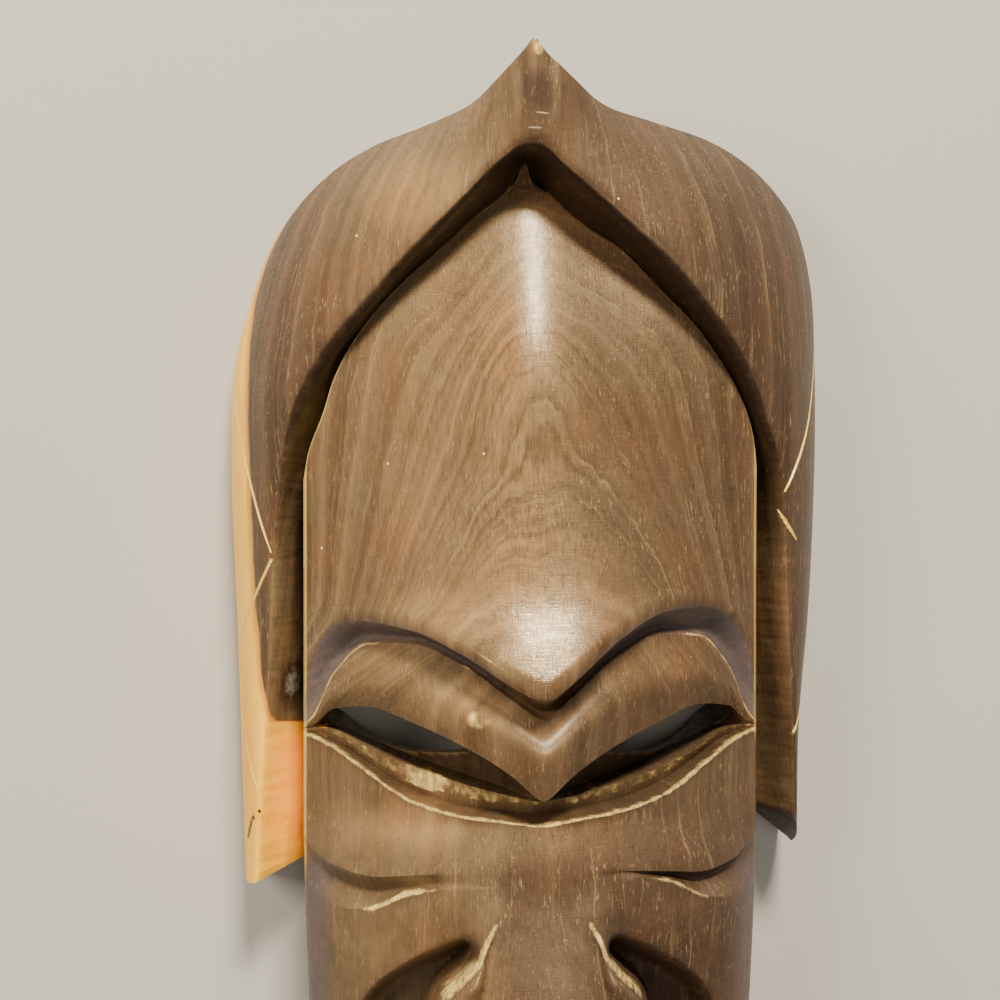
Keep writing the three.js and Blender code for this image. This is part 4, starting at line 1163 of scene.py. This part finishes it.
def add_wear_and_glints(colour):
    """Chipped pale edges, a painted highlight on the left brow's edge and the peak's tip, and a golden upper
    edge. Gives the colour and how far each place is worn or painted bright.
    """
    chipping = cloud((0.3, 0.24, 0.3), 4, 0.6) - 0.5
    wear_and_glint = step_between(stored("wear_and_glint") + chipping, 0.42, 0.85)
    colour = blend(wear_and_glint * 0.85, colour, tones(cloud((0.8, 0.3, 0.8), 3), WEAR_AND_GLINT_TONES))
    side = stored("side_arris") * step_between(stored("below_edge"), 1.0, 2.5, 1.0, 0.0)
    arris = math_node("MAXIMUM", stored("arris"), side)
    arris = step_between(arris + chipping * 0.5, 0.3, 0.8)
    return blend(arris * 0.8, colour, GOLDEN_EDGE), wear_and_glint


def add_streaks(colour, depth, covers):
    """Pale streaks in patches, except where a cover hides them, and small flecks and specks."""
    pale_layers = step_between(layers(depth, 0.85, 4, 0.75), 0.57, 0.68)
    streaks = step_between(cloud((1.9, 0.24, 1.9), 4, 0.65), 0.56, 0.7)
    streaks = math_node("MAXIMUM", streaks, pale_layers * 0.5)
    streaks = streaks * step_between(cloud((0.14, 0.07, 0.14), 3), 0.4, 0.62, 0.15, 0.6)
    for cover in covers:
        streaks = streaks * math_node("SUBTRACT", 1.0, cover, True)
    colour = blend(streaks, colour, PALE_STREAK)
    flecks = step_between(cloud((0.9, 0.5, 0.9), 2, 0.4), 0.755, 0.79)
    colour = blend(flecks * 0.4, colour, PALE_FLECK)
    for x, y, half_width, half_height in SPECKS:
        shrunk = stretched(place_mm, (1 / half_width, 1 / half_height, 0))
        reach = distance(shrunk, (x / half_width, y / half_height, 0))
        strength = 0.3 / half_width * 0.6 + 0.3
        colour = blend(step_between(reach, 0.6, 1.4, strength, 0.0), colour, PALE_SPECK)
    return colour


def finish_hardwood():
    """Varnished dark heartwood with pale sapwood and worn edges, with painted shade in the creases, painted
    highlights and painted cool reflections.
    """
    shader = tree.nodes["Principled BSDF"].inputs
    drift = cloud((0.03, 0.012, 0.03), 3) - 0.5
    wobble = cloud((0.22, 0.03, 0.22), 3) - 0.5
    depth = stored("figure") + drift * 4.5 + wobble * 1.3
    fibre = cloud((1.6, 0.045, 1.6), 4, 0.65)
    pores = step_between(cloud((2.8, 0.1, 0.9), 2), 0.58, 0.7)
    heart = heartwood(depth, fibre, pores)
    colour, sapwood = add_sapwood(heart, fibre)
    colour = add_knot(colour)
    back = stored("back")
    colour = blend(back, colour, blend(0.55, heart, RAW_WOOD))
    # Painted shade in the creases and on the inner walls, made a little uneven
    painted_shade = stored("painted_shade") * step_between(cloud((0.25, 0.12, 0.25), 3), 0.2, 0.55, 0.7, 1)
    colour = blend(painted_shade * 0.82, colour, PAINTED_SHADE_TONE)
    colour, wear_and_glint = add_wear_and_glints(colour)
    colour = add_streaks(colour, depth, [back, painted_shade])
    # Painted cool reflection under the brow, along the jaw and on the right flap's end
    colour = blend(stored("painted_cool_reflection") * 0.58, colour, COOL_REFLECTION_TONE)
    crack = step_between(stored("crack"), 0.8, 0.92)
    colour = blend(crack, colour, CRACK_SHADE)
    feed(shader["Base Color"], blend(stored("fresh_cut") * 0.92, colour, FRESH_CUT))

    scratches = cloud((0.25, 1.9, 0.25), 3, 0.6, 0.4) * 0.55 + cloud((1.1, 0.16, 1.1), 3, 0.6, 0.8) * 0.45
    rough = step_between(scratches, 0.35, 0.65, 0.26, 0.5) + wear_and_glint * 0.12
    rough = rough + stored("matt") * 0.14 + stored("dark_wood_and_shade") * 0.16 + back * 0.3
    feed(shader["Roughness"], math_node("ADD", rough, sapwood * 0.06, True))

    ripples = cloud((0.05, 0.33, 0.05), 1, 0.3) * (stored("gouged") * 0.45)
    relief = cloud((0.09, 0.07, 0.09), 2) * 0.45 + ripples + scratches * 0.11
    relief = relief - pores * 0.05 + fibre * 0.05 - wear_and_glint * 0.08 - crack * 0.5
    bump = node("Bump", {"Distance": MM, "Strength": 1, "Height": relief}, "Normal")
    feed(shader["Normal"], bump)
    for name, value in VARNISH.items():
        shader[name].default_value = value


def make_floor():
    bm = bmesh.new()
    bmesh.ops.create_grid(bm, x_segments=1, y_segments=1, size=FLOOR_SIZE)
    floor = mesh_object(bm, "floor")
    material = bpy.data.materials.new("pale_floor")
    material.use_nodes = True
    shader = material.node_tree.nodes["Principled BSDF"]
    shader.inputs["Base Color"].default_value = FLOOR_TONE
    shader.inputs["Roughness"].default_value = FLOOR_ROUGHNESS
    floor.data.materials.append(material)


def add_softbox(name, place, size, power, mirrored):
    """Puts an area light at a place, turned to the mask."""
    data = bpy.data.lights.new(name, "AREA")
    data.color = WARM_LIGHT
    data.shape = "RECTANGLE"
    data.size, data.size_y = size
    data.energy = power
    light = add_object(name, data)
    light.visible_glossy = mirrored
    light.location = place
    light.rotation_euler = (LIGHT_TARGET - Vector(place)).to_track_quat("-Z", "Y").to_euler()


def add_lights():
    for softbox in SOFTBOXES:
        add_softbox(*softbox)
    world = bpy.data.worlds.new("studio")
    world.use_nodes = True
    world.node_tree.nodes["Background"].inputs["Color"].default_value = COOL_SKY
    world.node_tree.nodes["Background"].inputs["Strength"].default_value = SKY_STRENGTH
    bpy.context.scene.world = world


def add_camera():
    data = bpy.data.cameras.new("camera")
    data.lens = LENS
    data.sensor_width = SENSOR
    data.sensor_height = SENSOR
    data.clip_start = CLIP_START
    camera = add_object("camera", data)
    forward = Vector((math.sin(CAMERA_TURN), 0, -math.cos(CAMERA_TURN)))
    right = Vector((math.cos(CAMERA_TURN), 0, math.sin(CAMERA_TURN)))
    turn = Matrix((right, Vector((0, 1, 0)), -forward)).transposed().to_4x4()
    camera.matrix_world = Matrix.Translation(LOOK_AT - forward * CAMERA_DISTANCE) @ turn
    bpy.context.scene.camera = camera


# The wood's material and its nodes, and every place on the mask in millimetres
hardwood = bpy.data.materials.new("dark_hardwood")
hardwood.use_nodes = True
tree = hardwood.node_tree
place_mm = stretched(node("TexCoord", {}, "Object"), (1 / MM, 1 / MM, 1 / MM))

mask = make_mask()
mask.data.materials.clear()
finish_hardwood()
mask.data.materials.append(hardwood)
paint(mask)
for polygon in mask.data.polygons:
    polygon.use_smooth = True
mask.data.set_sharp_from_angle(angle=SHARP_FROM)
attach(mask, "root")
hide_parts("mask")

make_floor()
add_lights()
add_camera()
